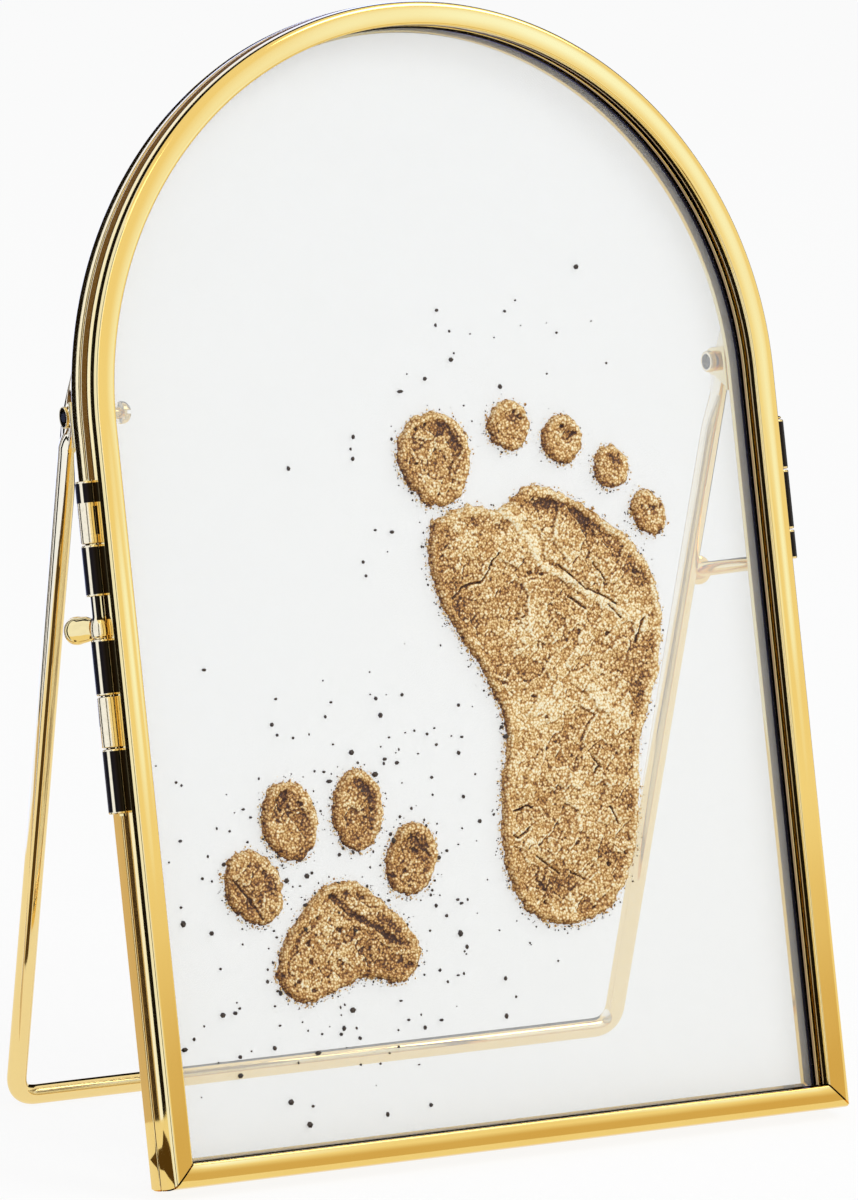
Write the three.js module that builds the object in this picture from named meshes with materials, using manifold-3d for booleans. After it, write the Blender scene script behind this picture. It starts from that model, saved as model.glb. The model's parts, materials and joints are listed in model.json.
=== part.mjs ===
// Keepsake frame with an arched top: two brass channel frames, each holding a pane of glass,
// hinged at the right and bolted at the left, with a baby's footprint and a paw print cast in
// sand between the panes and a bent wire stand behind.
// Millimetres. The frame is modelled upright, x to the right, y up, z out of the front,
// and the whole is then leaned back on its stand, with +Z up and the front facing -Y.

import * as THREE from 'three';
import { mergeVertices } from 'three/addons/utils/BufferGeometryUtils.js';
import Module from 'manifold-3d';

const wasm = await Module();
wasm.setup();

// Outline of the frame
const FRAME_WIDTH = 130;
const SIDE_HEIGHT = 123;
const LEAN = 15.2;

// Folded brass channel of both frames
const SHEET = 0.8;
const EDGE_ROUND = 0.5;
const LIP = 3.9;
const FRONT_FACE = 4;
const FRONT_REVEAL = 2.2;
const REAR_FACE = 4.6;
const REAR_REVEAL = 1.4;
const GLASS = 1.2;

// Clearances
const SEAM = 0.1;
const PARTING_GAP = 0.3;
const MITRE_SLIT = 0.3;
const END_GAP = 0.2;
const RUNNING = 0.1;
const SIDE_PLAY = 0.25;

// Barrels of the hinge and of the bolt, all of one tube
const BARREL_RADIUS = 1.65;
const BARREL_BORE = 0.95;
const BARREL_CHAMFER = 0.25;
const AXIS_OUTBOARD = 1.25;

// Heights along the right side, top down: rear, front and rear knuckle
const HINGE_TOP = 114.5;
const HINGE_UPPER_LENGTH = 8.4;
const HINGE_MIDDLE_LENGTH = 10;
const HINGE_LOWER_LENGTH = 5;
const PIN_HEAD_RADIUS = 1.35;
const PIN_HEAD_HEIGHT = 0.6;

// Heights along the left side, top down: keeper, guide, handle gap, two guides, rest
const LATCH_TOP = 114.7;
const KEEPER_LENGTH = 10.3;
const UPPER_GUIDE_LENGTH = 8.5;
const HANDLE_GAP = 6.7;
const MIDDLE_GUIDE_LENGTH = 9.3;
const LOWER_GUIDE_LENGTH = 8.4;
const REST_LENGTH = 10.7;
const BOLT_INSET = 0.3;
const BOLT_COLLAR_HEIGHT = 3.1;
const BOLT_COLLAR_RADIUS = 1.5;
const HANDLE_LENGTH = 5.5;
const HANDLE_HEAD_RADIUS = 2.3;
const HANDLE_NECK_RADIUS = 1.5;
const HANDLE_ROOT_RADIUS = 1.35;
const HANDLE_SPLAY = 14.75;

// Wire stand and the brackets that carry it
const PIVOT_HEIGHT = 125.4;
const PIVOT_BEHIND = 4.1;
const WIRE_RADIUS = 1.65;
const STAND_ANGLE = 24.3;
const STAND_FOOT_WIDTH = 116.3;
const STAND_BEND = 4;
const EYE_RADIUS = 2;
const EYE_NECK = 4.6;
const EYE_THICKNESS = 1.4;
const EYE_SHOULDER = 35;
const EYE_TIP_HALF_WIDTH = 0.35;
const EYE_TIP_CLEARANCE = 0.45;
const BRACKET_SHEET = 1;
const BRACKET_FOOT_WIDTH = 3;
const BRACKET_HEIGHT = 7.4;
const EAR_RADIUS = 2.3;
const SCREW_RADIUS = 0.95;
const SCREW_HEAD_RADIUS = 1.85;
const SCREW_HEAD_HEIGHT = 2;
const SCREW_SLOT = 0.55;
const LEFT_SCREW_PROUD = 6.8;
const NUT_RADIUS = 1.8;
const NUT_THICKNESS = 1.1;
const NUT_CHAMFER = 0.35;

// Headed post that stops the right leg of the stand
const STOP_HEIGHT = 91.3;
const STOP_RADIUS = 1.2;
const STOP_HEAD_RADIUS = 2.5;
const STOP_HEAD_THICKNESS = 1.2;
const STOP_FOOT_RADIUS = 2;
const STOP_FOOT_THICKNESS = 0.9;
const STOP_LAP = 0.55;
const STOP_CLEARANCE = 0.5;

// Cast sand prints on the rear pane: each print's middle, in from the frame's side and up from its bottom
const FOOT_INSET = 46;
const FOOT_HEIGHT = 78;
const PAW_INSET = 38.5;
const PAW_HEIGHT = 42;
const PRINT_THICKNESS = 1.5;
const PRINT_BEVEL = 0.45;

// Facets
const ARCH_STEPS = 40;
const ROUND_SIDES = 20;
const WIRE_SIDES = 14;
const BEND_STEPS = 6;

const halfWidth = FRAME_WIDTH / 2;
const frontDepth = FRONT_REVEAL + SEAM + GLASS + SEAM + SHEET;
const rearStart = frontDepth + PARTING_GAP;
const rearDepth = SHEET + SEAM + GLASS + SEAM + REAR_REVEAL;
const frameDepth = rearStart + rearDepth;
const frontPaneFace = FRONT_REVEAL + SEAM;
const rearPaneFace = rearStart + SHEET + SEAM;
const axisSide = halfWidth + AXIS_OUTBOARD;
const axisDepth = frontDepth + PARTING_GAP / 2;
const pivotDepth = frameDepth + PIVOT_BEHIND;
const rodRadius = BARREL_BORE - RUNNING;
const lean = THREE.MathUtils.degToRad(LEAN);

const standAngle = THREE.MathUtils.degToRad(STAND_ANGLE);

// The stand's legs are long enough to set its bottom bar level with the frame's rear bottom edge
const pivotRise = PIVOT_HEIGHT * Math.cos(lean) - PIVOT_BEHIND * Math.sin(lean) - WIRE_RADIUS;
const legLength = pivotRise / Math.cos(standAngle - lean);

const brass = { color: 0xd9ab4c, roughness: 0.18, metalness: 1 };
const glass = { color: 0xf2f5f4, roughness: 0.05, metalness: 0, transparent: true, opacity: 0.25 };
const sand = { color: 0xb98d52, roughness: 0.95, metalness: 0 };

const frame = new THREE.Group();

function addPart(name, geometry, finish, parent = frame) {
  const mesh = new THREE.Mesh(geometry, new THREE.MeshStandardMaterial(finish));
  mesh.name = name;
  parent.add(mesh);
  return mesh;
}

// Closed mesh to solid and back, for cuts and joins
function solid(geometry) {
  const bare = geometry.clone();
  bare.deleteAttribute('normal');
  bare.deleteAttribute('uv');
  const merged = mergeVertices(bare, 1e-4);
  const mesh = new wasm.Mesh({
    numProp: 3,
    vertProperties: new Float32Array(merged.attributes.position.array),
    triVerts: new Uint32Array(merged.index.array),
  });
  return new wasm.Manifold(mesh);
}

function surface(body) {
  const mesh = body.getMesh();
  const geometry = new THREE.BufferGeometry();
  geometry.setAttribute('position', new THREE.BufferAttribute(mesh.vertProperties, 3));
  geometry.setIndex(new THREE.BufferAttribute(mesh.triVerts, 1));
  geometry.computeVertexNormals();
  return geometry;
}

// A path given by its stations, each with a point and a direction
class StationPath extends THREE.Curve {
  constructor(stations) {
    super();
    this.stations = stations;
  }

  get steps() {
    return this.stations.length - 1;
  }

  between(t, key, target) {
    const along = t * this.steps;
    const index = Math.min(Math.floor(along), this.steps - 1);
    const from = this.stations[index][key];
    return target.lerpVectors(from, this.stations[index + 1][key], along - index);
  }

  getPoint(t, target = new THREE.Vector3()) {
    return this.between(t, 'point', target);
  }

  getTangent(t, target = new THREE.Vector3()) {
    return this.between(t, 'direction', target).normalize();
  }

  getUtoTmapping(u) {
    return u;
  }
}

function sweep(section, path, curveSegments) {
  return new THREE.ExtrudeGeometry(section, { extrudePath: path, steps: path.steps, curveSegments });
}

// A turned piece: pairs of radius and length along the axis, which is +y
function turned(profile) {
  const points = profile.map(([radius, along]) => new THREE.Vector2(radius, along));
  return new THREE.LatheGeometry(points, ROUND_SIDES);
}

function arcStations(centreX, centreY, radius, from, to, steps) {
  const stations = [];
  const way = Math.sign(to - from);
  for (let i = 0; i <= steps; i += 1) {
    const angle = from + ((to - from) * i) / steps;
    stations.push({
      point: new THREE.Vector3(centreX + radius * Math.cos(angle), centreY + radius * Math.sin(angle), 0),
      direction: new THREE.Vector3(-way * Math.sin(angle), way * Math.cos(angle), 0),
    });
  }
  return stations;
}

// Section of a folded channel rail, as depth behind the front and distance out of the frame.
// Height runs from the rail's showing face to the parting plane, and toDepth makes it a depth.
function railSection(faceWidth, reveal, depth, toDepth) {
  const at = (inward, height) => [toDepth(height), -inward];
  const section = new THREE.Shape();
  section.moveTo(...at(EDGE_ROUND, 0));
  section.lineTo(...at(faceWidth - EDGE_ROUND, 0));
  section.quadraticCurveTo(...at(faceWidth, 0), ...at(faceWidth, EDGE_ROUND));
  section.lineTo(...at(faceWidth, reveal));
  section.lineTo(...at(faceWidth - SHEET, reveal));
  section.lineTo(...at(faceWidth - SHEET, SHEET));
  section.lineTo(...at(SHEET, SHEET));
  section.lineTo(...at(SHEET, depth - SHEET));
  section.lineTo(...at(LIP, depth - SHEET));
  section.lineTo(...at(LIP, depth));
  section.lineTo(...at(EDGE_ROUND, depth));
  section.quadraticCurveTo(...at(0, depth), ...at(0, depth - EDGE_ROUND));
  section.lineTo(...at(0, EDGE_ROUND));
  section.quadraticCurveTo(...at(0, 0), ...at(EDGE_ROUND, 0));
  return section;
}

// The wedge that the bottom rail takes up, bounded by the two mitres
function mitreWedge(widen) {
  const below = frameDepth;
  const above = FRAME_WIDTH / 4;
  const wedge = new THREE.Shape();
  wedge.moveTo(-halfWidth - below - widen, -below);
  wedge.lineTo(halfWidth + below + widen, -below);
  wedge.lineTo(halfWidth - above + widen, above);
  wedge.lineTo(-halfWidth + above - widen, above);
  wedge.closePath();
  const geometry = new THREE.ExtrudeGeometry(wedge, { depth: 3 * frameDepth, bevelEnabled: false });
  return solid(geometry.translate(0, 0, -2 * frameDepth));
}

// Groove along both sides in which the barrels are soldered
function barrelGroove(side, from, to) {
  const radius = BARREL_RADIUS + SEAM;
  const groove = new THREE.CylinderGeometry(radius, radius, from - to + 2 * END_GAP, ROUND_SIDES);
  return solid(groove.translate(side * axisSide, (from + to) / 2, -axisDepth));
}

const hingeBottom = HINGE_TOP - HINGE_UPPER_LENGTH - HINGE_MIDDLE_LENGTH - HINGE_LOWER_LENGTH;
const upperGuideTop = LATCH_TOP - KEEPER_LENGTH;
const handleGapTop = upperGuideTop - UPPER_GUIDE_LENGTH;
const middleGuideTop = handleGapTop - HANDLE_GAP;
const lowerGuideTop = middleGuideTop - MIDDLE_GUIDE_LENGTH;
const restTop = lowerGuideTop - LOWER_GUIDE_LENGTH;
const latchBottom = restTop - REST_LENGTH;

const up = new THREE.Vector3(0, 1, 0);
const down = new THREE.Vector3(0, -1, 0);
const back = new THREE.Vector3(0, 0, -1);
const left = new THREE.Vector3(-1, 0, 0);

const archPath = new StationPath([
  { point: new THREE.Vector3(-halfWidth, 0, 0), direction: up },
  ...arcStations(0, SIDE_HEIGHT, halfWidth, Math.PI, 0, ARCH_STEPS),
  { point: new THREE.Vector3(halfWidth, 0, 0), direction: down },
]);

const mitreShift = (MITRE_SLIT / 2) * Math.SQRT2;
const grooves = barrelGroove(1, HINGE_TOP, hingeBottom).add(barrelGroove(-1, LATCH_TOP, latchBottom));

// Sides and arch in one bent rail, mitred to a straight bottom rail
function addRails(name, section) {
  const curveSegments = 3;
  const arch = solid(sweep(section, archPath, curveSegments));
  const cut = arch.subtract(mitreWedge(mitreShift)).subtract(grooves);
  addPart(`${name}_arch_rail`, surface(cut), brass);

  const straight = { depth: FRAME_WIDTH, bevelEnabled: false, curveSegments };
  const bar = new THREE.ExtrudeGeometry(section, straight);
  bar.applyMatrix4(new THREE.Matrix4().makeBasis(back, down, left)).translate(halfWidth, 0, 0);
  addPart(`${name}_bottom_rail`, surface(solid(bar).intersect(mitreWedge(-mitreShift))), brass);
}

addRails('rear', railSection(REAR_FACE, REAR_REVEAL, rearDepth, (height) => frameDepth - height));
addRails('front', railSection(FRONT_FACE, FRONT_REVEAL, frontDepth, (height) => height));

// Panes, trapped between the inner wall and the lip of their rail
function addPane(name, faceDepth) {
  const edge = SHEET + SEAM;
  const half = halfWidth - edge;
  const outline = new THREE.Shape();
  outline.moveTo(-half, edge);
  outline.lineTo(half, edge);
  outline.lineTo(half, SIDE_HEIGHT);
  outline.absarc(0, SIDE_HEIGHT, half, 0, Math.PI, false);
  outline.closePath();
  const pane = new THREE.ExtrudeGeometry(outline, {
    depth: GLASS,
    bevelEnabled: false,
    curveSegments: ARCH_STEPS / 2,
  });
  addPart(name, pane.translate(0, 0, -faceDepth - GLASS), glass);
}

addPane('rear_glass', rearPaneFace);
addPane('front_glass', frontPaneFace);

// Prints of cast sand, bonded to the front of the rear pane
function printGroup(side, height) {
  const print = new THREE.Group();
  print.position.set(side, height, PRINT_BEVEL / 2 + SEAM - rearPaneFace);
  frame.add(print);
  return print;
}

function addPrint(name, outline, curveSegments, print) {
  const cast = new THREE.ExtrudeGeometry(outline, {
    depth: PRINT_THICKNESS - PRINT_BEVEL,
    bevelThickness: PRINT_BEVEL / 2,
    bevelSize: PRINT_BEVEL,
    bevelOffset: -PRINT_BEVEL,
    bevelSegments: 1,
    curveSegments,
  });
  addPart(name, cast, sand, print);
}

function closedOutline(points) {
  const loop = points.map(([x, y]) => new THREE.Vector2(x, y));
  const outline = new THREE.Shape();
  outline.moveTo(loop[0].x, loop[0].y);
  outline.splineThru([...loop.slice(1), loop[0]]);
  return outline;
}

function oval(x, y, across, along, tilt) {
  const outline = new THREE.Shape();
  outline.absellipse(x, y, across, along, 0, 2 * Math.PI, false, THREE.MathUtils.degToRad(tilt));
  return outline;
}

const soleOutline = [
  [-20.2, 25.2], [-13, 27.4], [-7, 26.2], [-1.5, 29.6], [5, 28], [13, 23], [19.2, 17],
  [22.1, 8.5], [20.4, -3], [15.8, -13.2], [14.2, -24], [11.6, -34], [6.5, -40.8], [-2, -43.1],
  [-10.2, -39.4], [-13.2, -30], [-11.8, -18], [-10.2, -9], [-13.8, 0.4], [-19, 9], [-21.6, 18.4],
];
const bigToeOutline = [
  [-18.2, 43.2], [-14.2, 41.9], [-11.8, 38.8], [-11.4, 35], [-12.6, 31.4], [-14.4, 28.4], [-17.6, 27.4],
  [-20.8, 27.7], [-23.4, 30.6], [-25.2, 33.4], [-25.6, 36.6], [-24.4, 40], [-21.8, 42.3],
];
const padOutline = [
  [-5.9, 1.1], [-1.7, 4], [3.5, 4.3], [7.3, 1.6], [12.1, -3], [15.3, -8.4], [10.9, -13.4],
  [4.5, -11.6], [-1.9, -13.6], [-8.5, -14.8], [-12.7, -10.4], [-10.5, -4],
];
const footToes = {
  foot_toe_2: [-3.7, 39.6, 4.2, 4.3, 0],
  foot_toe_3: [6.3, 36.6, 3.9, 4.2, 10],
  foot_toe_4: [15.2, 31.2, 3.5, 3.8, 15],
  foot_toe_5: [21.5, 23.2, 3.2, 4.2, 25],
};
const pawToes = {
  paw_toe_1: [-15.2, 4.8, 5.3, 6.6, 25],
  paw_toe_2: [-7.2, 14.9, 5.4, 6.8, 8],
  paw_toe_3: [5.7, 15.5, 4.9, 6.9, -6],
  paw_toe_4: [14.9, 6.6, 4.9, 6.3, -25],
};

const footPrint = printGroup(halfWidth - FOOT_INSET, FOOT_HEIGHT);
addPrint('foot_sole', closedOutline(soleOutline), 2, footPrint);
addPrint('foot_big_toe', closedOutline(bigToeOutline), 3, footPrint);
for (const [name, toe] of Object.entries(footToes)) {
  addPrint(name, oval(...toe), ROUND_SIDES / 2, footPrint);
}
const pawPrint = printGroup(PAW_INSET - halfWidth, PAW_HEIGHT);
addPrint('paw_pad', closedOutline(padOutline), 3, pawPrint);
for (const [name, toe] of Object.entries(pawToes)) {
  addPrint(name, oval(...toe), ROUND_SIDES / 2, pawPrint);
}

// A length of tube standing on one of the two side axes
function addBarrel(name, side, top, length) {
  const foot = top - length + END_GAP;
  const barrel = turned([
    [BARREL_BORE, foot],
    [BARREL_RADIUS - BARREL_CHAMFER, foot],
    [BARREL_RADIUS, foot + BARREL_CHAMFER],
    [BARREL_RADIUS, top - BARREL_CHAMFER],
    [BARREL_RADIUS - BARREL_CHAMFER, top],
    [BARREL_BORE, top],
    [BARREL_BORE, foot],
  ]);
  addPart(name, barrel.translate(side * axisSide, 0, -axisDepth), brass);
}

const hingeMiddleTop = HINGE_TOP - HINGE_UPPER_LENGTH;
const hingeLowerTop = hingeMiddleTop - HINGE_MIDDLE_LENGTH;
addBarrel('hinge_knuckle_rear_upper', 1, HINGE_TOP, HINGE_UPPER_LENGTH);
addBarrel('hinge_knuckle_front', 1, hingeMiddleTop, HINGE_MIDDLE_LENGTH);
addBarrel('hinge_knuckle_rear_lower', 1, hingeLowerTop, HINGE_LOWER_LENGTH);

const pinTop = HINGE_TOP + SEAM;
const hingePin = turned([
  [0, hingeBottom],
  [rodRadius, hingeBottom],
  [rodRadius, pinTop],
  [PIN_HEAD_RADIUS, pinTop],
  [PIN_HEAD_RADIUS, pinTop + PIN_HEAD_HEIGHT / 2],
  [PIN_HEAD_RADIUS / 2, pinTop + PIN_HEAD_HEIGHT],
  [0, pinTop + PIN_HEAD_HEIGHT],
]);
addPart('hinge_pin', hingePin.translate(axisSide, 0, -axisDepth), brass);

addBarrel('latch_keeper', -1, LATCH_TOP, KEEPER_LENGTH);
addBarrel('latch_guide_upper', -1, upperGuideTop, UPPER_GUIDE_LENGTH);
addBarrel('latch_guide_middle', -1, middleGuideTop, MIDDLE_GUIDE_LENGTH);
addBarrel('latch_guide_lower', -1, lowerGuideTop, LOWER_GUIDE_LENGTH);
addBarrel('latch_rest', -1, restTop, REST_LENGTH);

// Bolt, drawn down clear of the keeper, with its collar on the middle guide
const boltTop = upperGuideTop - BOLT_INSET;
const boltFoot = restTop + BOLT_INSET;
const collarFoot = middleGuideTop + END_GAP;
const collarTop = collarFoot + BOLT_COLLAR_HEIGHT;
const latchBolt = turned([
  [0, boltFoot],
  [rodRadius, boltFoot],
  [rodRadius, collarFoot],
  [BOLT_COLLAR_RADIUS, collarFoot],
  [BOLT_COLLAR_RADIUS, collarTop - BOLT_COLLAR_HEIGHT / 3],
  [rodRadius, collarTop],
  [rodRadius, boltTop - rodRadius / 2],
  [rodRadius / 2, boltTop],
  [0, boltTop],
]);
addPart('latch_bolt', latchBolt.translate(-axisSide, 0, -axisDepth), brass);

// Pear-shaped handle, soldered to the back of the collar and splayed clear of the rear rail
const handleRoot = BOLT_COLLAR_RADIUS + SEAM;
const handleTip = handleRoot + HANDLE_LENGTH;
const headBelly = handleTip - HANDLE_HEAD_RADIUS;
const handle = turned([
  [0, handleRoot],
  [HANDLE_ROOT_RADIUS, handleRoot],
  [HANDLE_NECK_RADIUS, handleRoot + HANDLE_ROOT_RADIUS],
  [(HANDLE_NECK_RADIUS + HANDLE_HEAD_RADIUS) / 2, (handleRoot + HANDLE_ROOT_RADIUS + headBelly) / 2],
  [HANDLE_HEAD_RADIUS, headBelly],
  [HANDLE_HEAD_RADIUS * Math.cos(Math.PI / 6), headBelly + HANDLE_HEAD_RADIUS / 2],
  [HANDLE_HEAD_RADIUS / 2, headBelly + HANDLE_HEAD_RADIUS * Math.cos(Math.PI / 6)],
  [0, handleTip],
]);
handle.rotateX(-Math.PI / 2).rotateY(THREE.MathUtils.degToRad(HANDLE_SPLAY));
handle.translate(-axisSide, (collarFoot + collarTop) / 2, -axisDepth);
addPart('latch_handle', handle, brass);

// Stand: one wire bent to a U, with its ends flattened to eyes that run out to a narrow tip close to
// the rear rail. Modelled with the pivot at the origin and the legs hanging down, then swung back by
// the stand's angle.
const earInner = halfWidth - REAR_FACE + SEAM;
const earOuter = earInner + BRACKET_SHEET;
const eyeInner = earOuter + SIDE_PLAY;
const eyeOuter = eyeInner + EYE_THICKNESS;
const legTop = (eyeInner + eyeOuter) / 2;
const eyeTipReach = PIVOT_BEHIND - EYE_TIP_CLEARANCE - EYE_TIP_HALF_WIDTH * Math.cos(standAngle);
const eyeTip = eyeTipReach / Math.sin(standAngle);
const eyeShoulder = THREE.MathUtils.degToRad(EYE_SHOULDER);
const footSide = STAND_FOOT_WIDTH / 2;
const legTilt = Math.atan2(legTop - footSide, legLength);
const stand = new THREE.Group();
stand.position.set(0, PIVOT_HEIGHT, -pivotDepth);
stand.rotation.x = standAngle;
frame.add(stand);

function wirePath() {
  const bendSide = footSide - (STAND_BEND * (1 - Math.sin(legTilt))) / Math.cos(legTilt);
  const bendHeight = STAND_BEND - legLength;
  const legEnd = Math.PI + legTilt;
  const barStart = 1.5 * Math.PI;
  const leftBend = arcStations(-bendSide, bendHeight, STAND_BEND, legEnd, barStart, BEND_STEPS);
  const rightBend = leftBend.map(({ point, direction }) => ({
    point: new THREE.Vector3(-point.x, point.y, 0),
    direction: new THREE.Vector3(direction.x, -direction.y, 0),
  }));
  const start = EYE_NECK - EYE_THICKNESS / 2;
  const legDown = leftBend[0].direction;
  const top = new THREE.Vector3(-legTop + start * Math.tan(legTilt), -start, 0);
  const mirrorTop = new THREE.Vector3(-top.x, top.y, 0);
  return new StationPath([
    { point: top, direction: legDown },
    ...leftBend,
    ...rightBend.reverse(),
    { point: mirrorTop, direction: new THREE.Vector3(legDown.x, -legDown.y, 0) },
  ]);
}

// A flat piece cut from sheet in the plane of depth and height, its inner face at the given side
function sidePlate(outline, thickness, inner) {
  const plate = new THREE.ExtrudeGeometry(outline, {
    depth: thickness,
    bevelEnabled: false,
    curveSegments: ROUND_SIDES / 2,
  });
  return solid(plate.rotateY(Math.PI / 2).translate(inner, 0, 0));
}

function standEye(side) {
  const plate = new THREE.Shape();
  plate.moveTo(-WIRE_RADIUS, -EYE_NECK);
  plate.lineTo(WIRE_RADIUS, -EYE_NECK);
  plate.lineTo(EYE_RADIUS, 0);
  plate.absarc(0, 0, EYE_RADIUS, 0, eyeShoulder, false);
  plate.lineTo(EYE_TIP_HALF_WIDTH, eyeTip);
  plate.lineTo(-EYE_TIP_HALF_WIDTH, eyeTip);
  plate.absarc(0, 0, EYE_RADIUS, Math.PI - eyeShoulder, Math.PI, false);
  plate.closePath();
  const hole = new THREE.Path();
  hole.absarc(0, 0, SCREW_RADIUS + RUNNING, 0, 2 * Math.PI, true);
  plate.holes.push(hole);
  return sidePlate(plate, EYE_THICKNESS, side > 0 ? eyeInner : -eyeOuter);
}

const wireSection = new THREE.Shape();
wireSection.absarc(0, 0, WIRE_RADIUS, 0, 2 * Math.PI, false);
const wire = solid(sweep(wireSection, wirePath(), WIRE_SIDES / 2));
addPart('stand_loop', surface(wire.add(standEye(1)).add(standEye(-1))), brass, stand);

// Brackets: a foot on the rear rail and an ear drilled for the pivot screw
function addBracket(name, side) {
  const seat = -frameDepth - SEAM;
  const low = PIVOT_HEIGHT + EAR_RADIUS - BRACKET_HEIGHT;
  const high = PIVOT_HEIGHT + EAR_RADIUS;
  const ear = new THREE.Shape();
  ear.moveTo(-seat, low);
  ear.lineTo(pivotDepth, PIVOT_HEIGHT - EAR_RADIUS);
  ear.absarc(pivotDepth, PIVOT_HEIGHT, EAR_RADIUS, -Math.PI / 2, Math.PI / 2, false);
  ear.lineTo(-seat, high);
  ear.closePath();
  const hole = new THREE.Path();
  hole.absarc(pivotDepth, PIVOT_HEIGHT, SCREW_RADIUS + RUNNING, 0, 2 * Math.PI, true);
  ear.holes.push(hole);
  const footWidth = BRACKET_SHEET + BRACKET_FOOT_WIDTH;
  const foot = new THREE.BoxGeometry(footWidth, BRACKET_HEIGHT, BRACKET_SHEET);
  foot.translate(earInner + footWidth / 2, (low + high) / 2, seat - BRACKET_SHEET / 2);
  const bracket = sidePlate(ear, BRACKET_SHEET, earInner).add(solid(foot));
  addPart(name, surface(side > 0 ? bracket : bracket.mirror([1, 0, 0])), brass);
}

addBracket('stand_bracket_left', -1);
addBracket('stand_bracket_right', 1);

// Slotted pivot screws and their round nuts. Lengths run from the tip of the screw to its head.
function addScrew(name, tip, headSeat) {
  const way = Math.sign(headSeat - tip);
  const length = Math.abs(headSeat - tip);
  const screw = turned([
    [0, 0],
    [SCREW_RADIUS, 0],
    [SCREW_RADIUS, length],
    [SCREW_HEAD_RADIUS, length],
    [SCREW_HEAD_RADIUS, length + SCREW_HEAD_HEIGHT / 2],
    [(SCREW_HEAD_RADIUS * 3) / 4, length + (SCREW_HEAD_HEIGHT * 5) / 6],
    [0, length + SCREW_HEAD_HEIGHT],
  ]);
  const slot = new THREE.BoxGeometry(SCREW_SLOT, SCREW_HEAD_HEIGHT, 3 * SCREW_HEAD_RADIUS);
  slot.translate(0, length + SCREW_HEAD_HEIGHT, 0);
  const geometry = surface(solid(screw).subtract(solid(slot)));
  geometry.rotateZ((-way * Math.PI) / 2).translate(tip, PIVOT_HEIGHT, -pivotDepth);
  addPart(name, geometry, brass);
}

function addNut(name, seat) {
  const bore = SCREW_RADIUS + SEAM;
  const nut = turned([
    [bore, 0],
    [NUT_RADIUS, 0],
    [NUT_RADIUS, NUT_THICKNESS - NUT_CHAMFER],
    [NUT_RADIUS - NUT_CHAMFER, NUT_THICKNESS],
    [bore, NUT_THICKNESS],
    [bore, 0],
  ]);
  nut.rotateZ(Math.PI / 2).translate(seat, PIVOT_HEIGHT, -pivotDepth);
  addPart(name, nut, brass);
}

const outerSeat = eyeOuter + SIDE_PLAY;
const innerSeat = earInner - SEAM;
addScrew('stand_screw_left', -outerSeat - NUT_THICKNESS, -innerSeat + LEFT_SCREW_PROUD);
addNut('stand_nut_left', -outerSeat);
addScrew('stand_screw_right', innerSeat - NUT_THICKNESS, outerSeat);
addNut('stand_nut_right', innerSeat);

// Stop post: the leg folds past its stem, and its head catches the leg at the standing angle
const stopDrop = PIVOT_HEIGHT - STOP_HEIGHT;
const legSide = legTop - (stopDrop / Math.cos(standAngle)) * Math.tan(legTilt);
const stopSide = legSide + WIRE_RADIUS - STOP_LAP + STOP_HEAD_RADIUS;
const lapHalfDepth = Math.sqrt(WIRE_RADIUS ** 2 - (WIRE_RADIUS - STOP_LAP) ** 2);
const legDepth = pivotDepth + stopDrop * Math.tan(standAngle);
const stopHeadDepth = legDepth + lapHalfDepth / Math.cos(standAngle) + STOP_CLEARANCE;
const stopSeat = frameDepth + SEAM;
const stopPost = turned([
  [0, stopSeat],
  [STOP_FOOT_RADIUS, stopSeat],
  [STOP_FOOT_RADIUS, stopSeat + STOP_FOOT_THICKNESS],
  [STOP_RADIUS, stopSeat + 2 * STOP_FOOT_THICKNESS],
  [STOP_RADIUS, stopHeadDepth],
  [STOP_HEAD_RADIUS, stopHeadDepth],
  [STOP_HEAD_RADIUS, stopHeadDepth + STOP_HEAD_THICKNESS / 2],
  [STOP_HEAD_RADIUS - STOP_HEAD_THICKNESS / 2, stopHeadDepth + STOP_HEAD_THICKNESS],
  [0, stopHeadDepth + STOP_HEAD_THICKNESS],
]);
addPart('stand_stop_post', stopPost.rotateX(-Math.PI / 2).translate(stopSide, STOP_HEIGHT, 0), brass);

// Lean the frame back and set the middle of its footprint at the origin
frame.rotation.x = Math.PI / 2 - lean;
const keepsakeFrame = new THREE.Group();
keepsakeFrame.name = 'paw_print_keepsake_frame';
keepsakeFrame.add(frame);
keepsakeFrame.updateMatrixWorld(true);
const reach = new THREE.Box3().setFromObject(keepsakeFrame, true);
frame.position.x = -(reach.min.x + reach.max.x) / 2;
frame.position.y = -(reach.min.y + reach.max.y) / 2;
frame.position.z = -reach.min.z;
keepsakeFrame.updateMatrixWorld(true);

export default keepsakeFrame;
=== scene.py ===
import json
import math

import bmesh
import bpy
import numpy as np
from mathutils import Matrix, Vector


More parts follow.
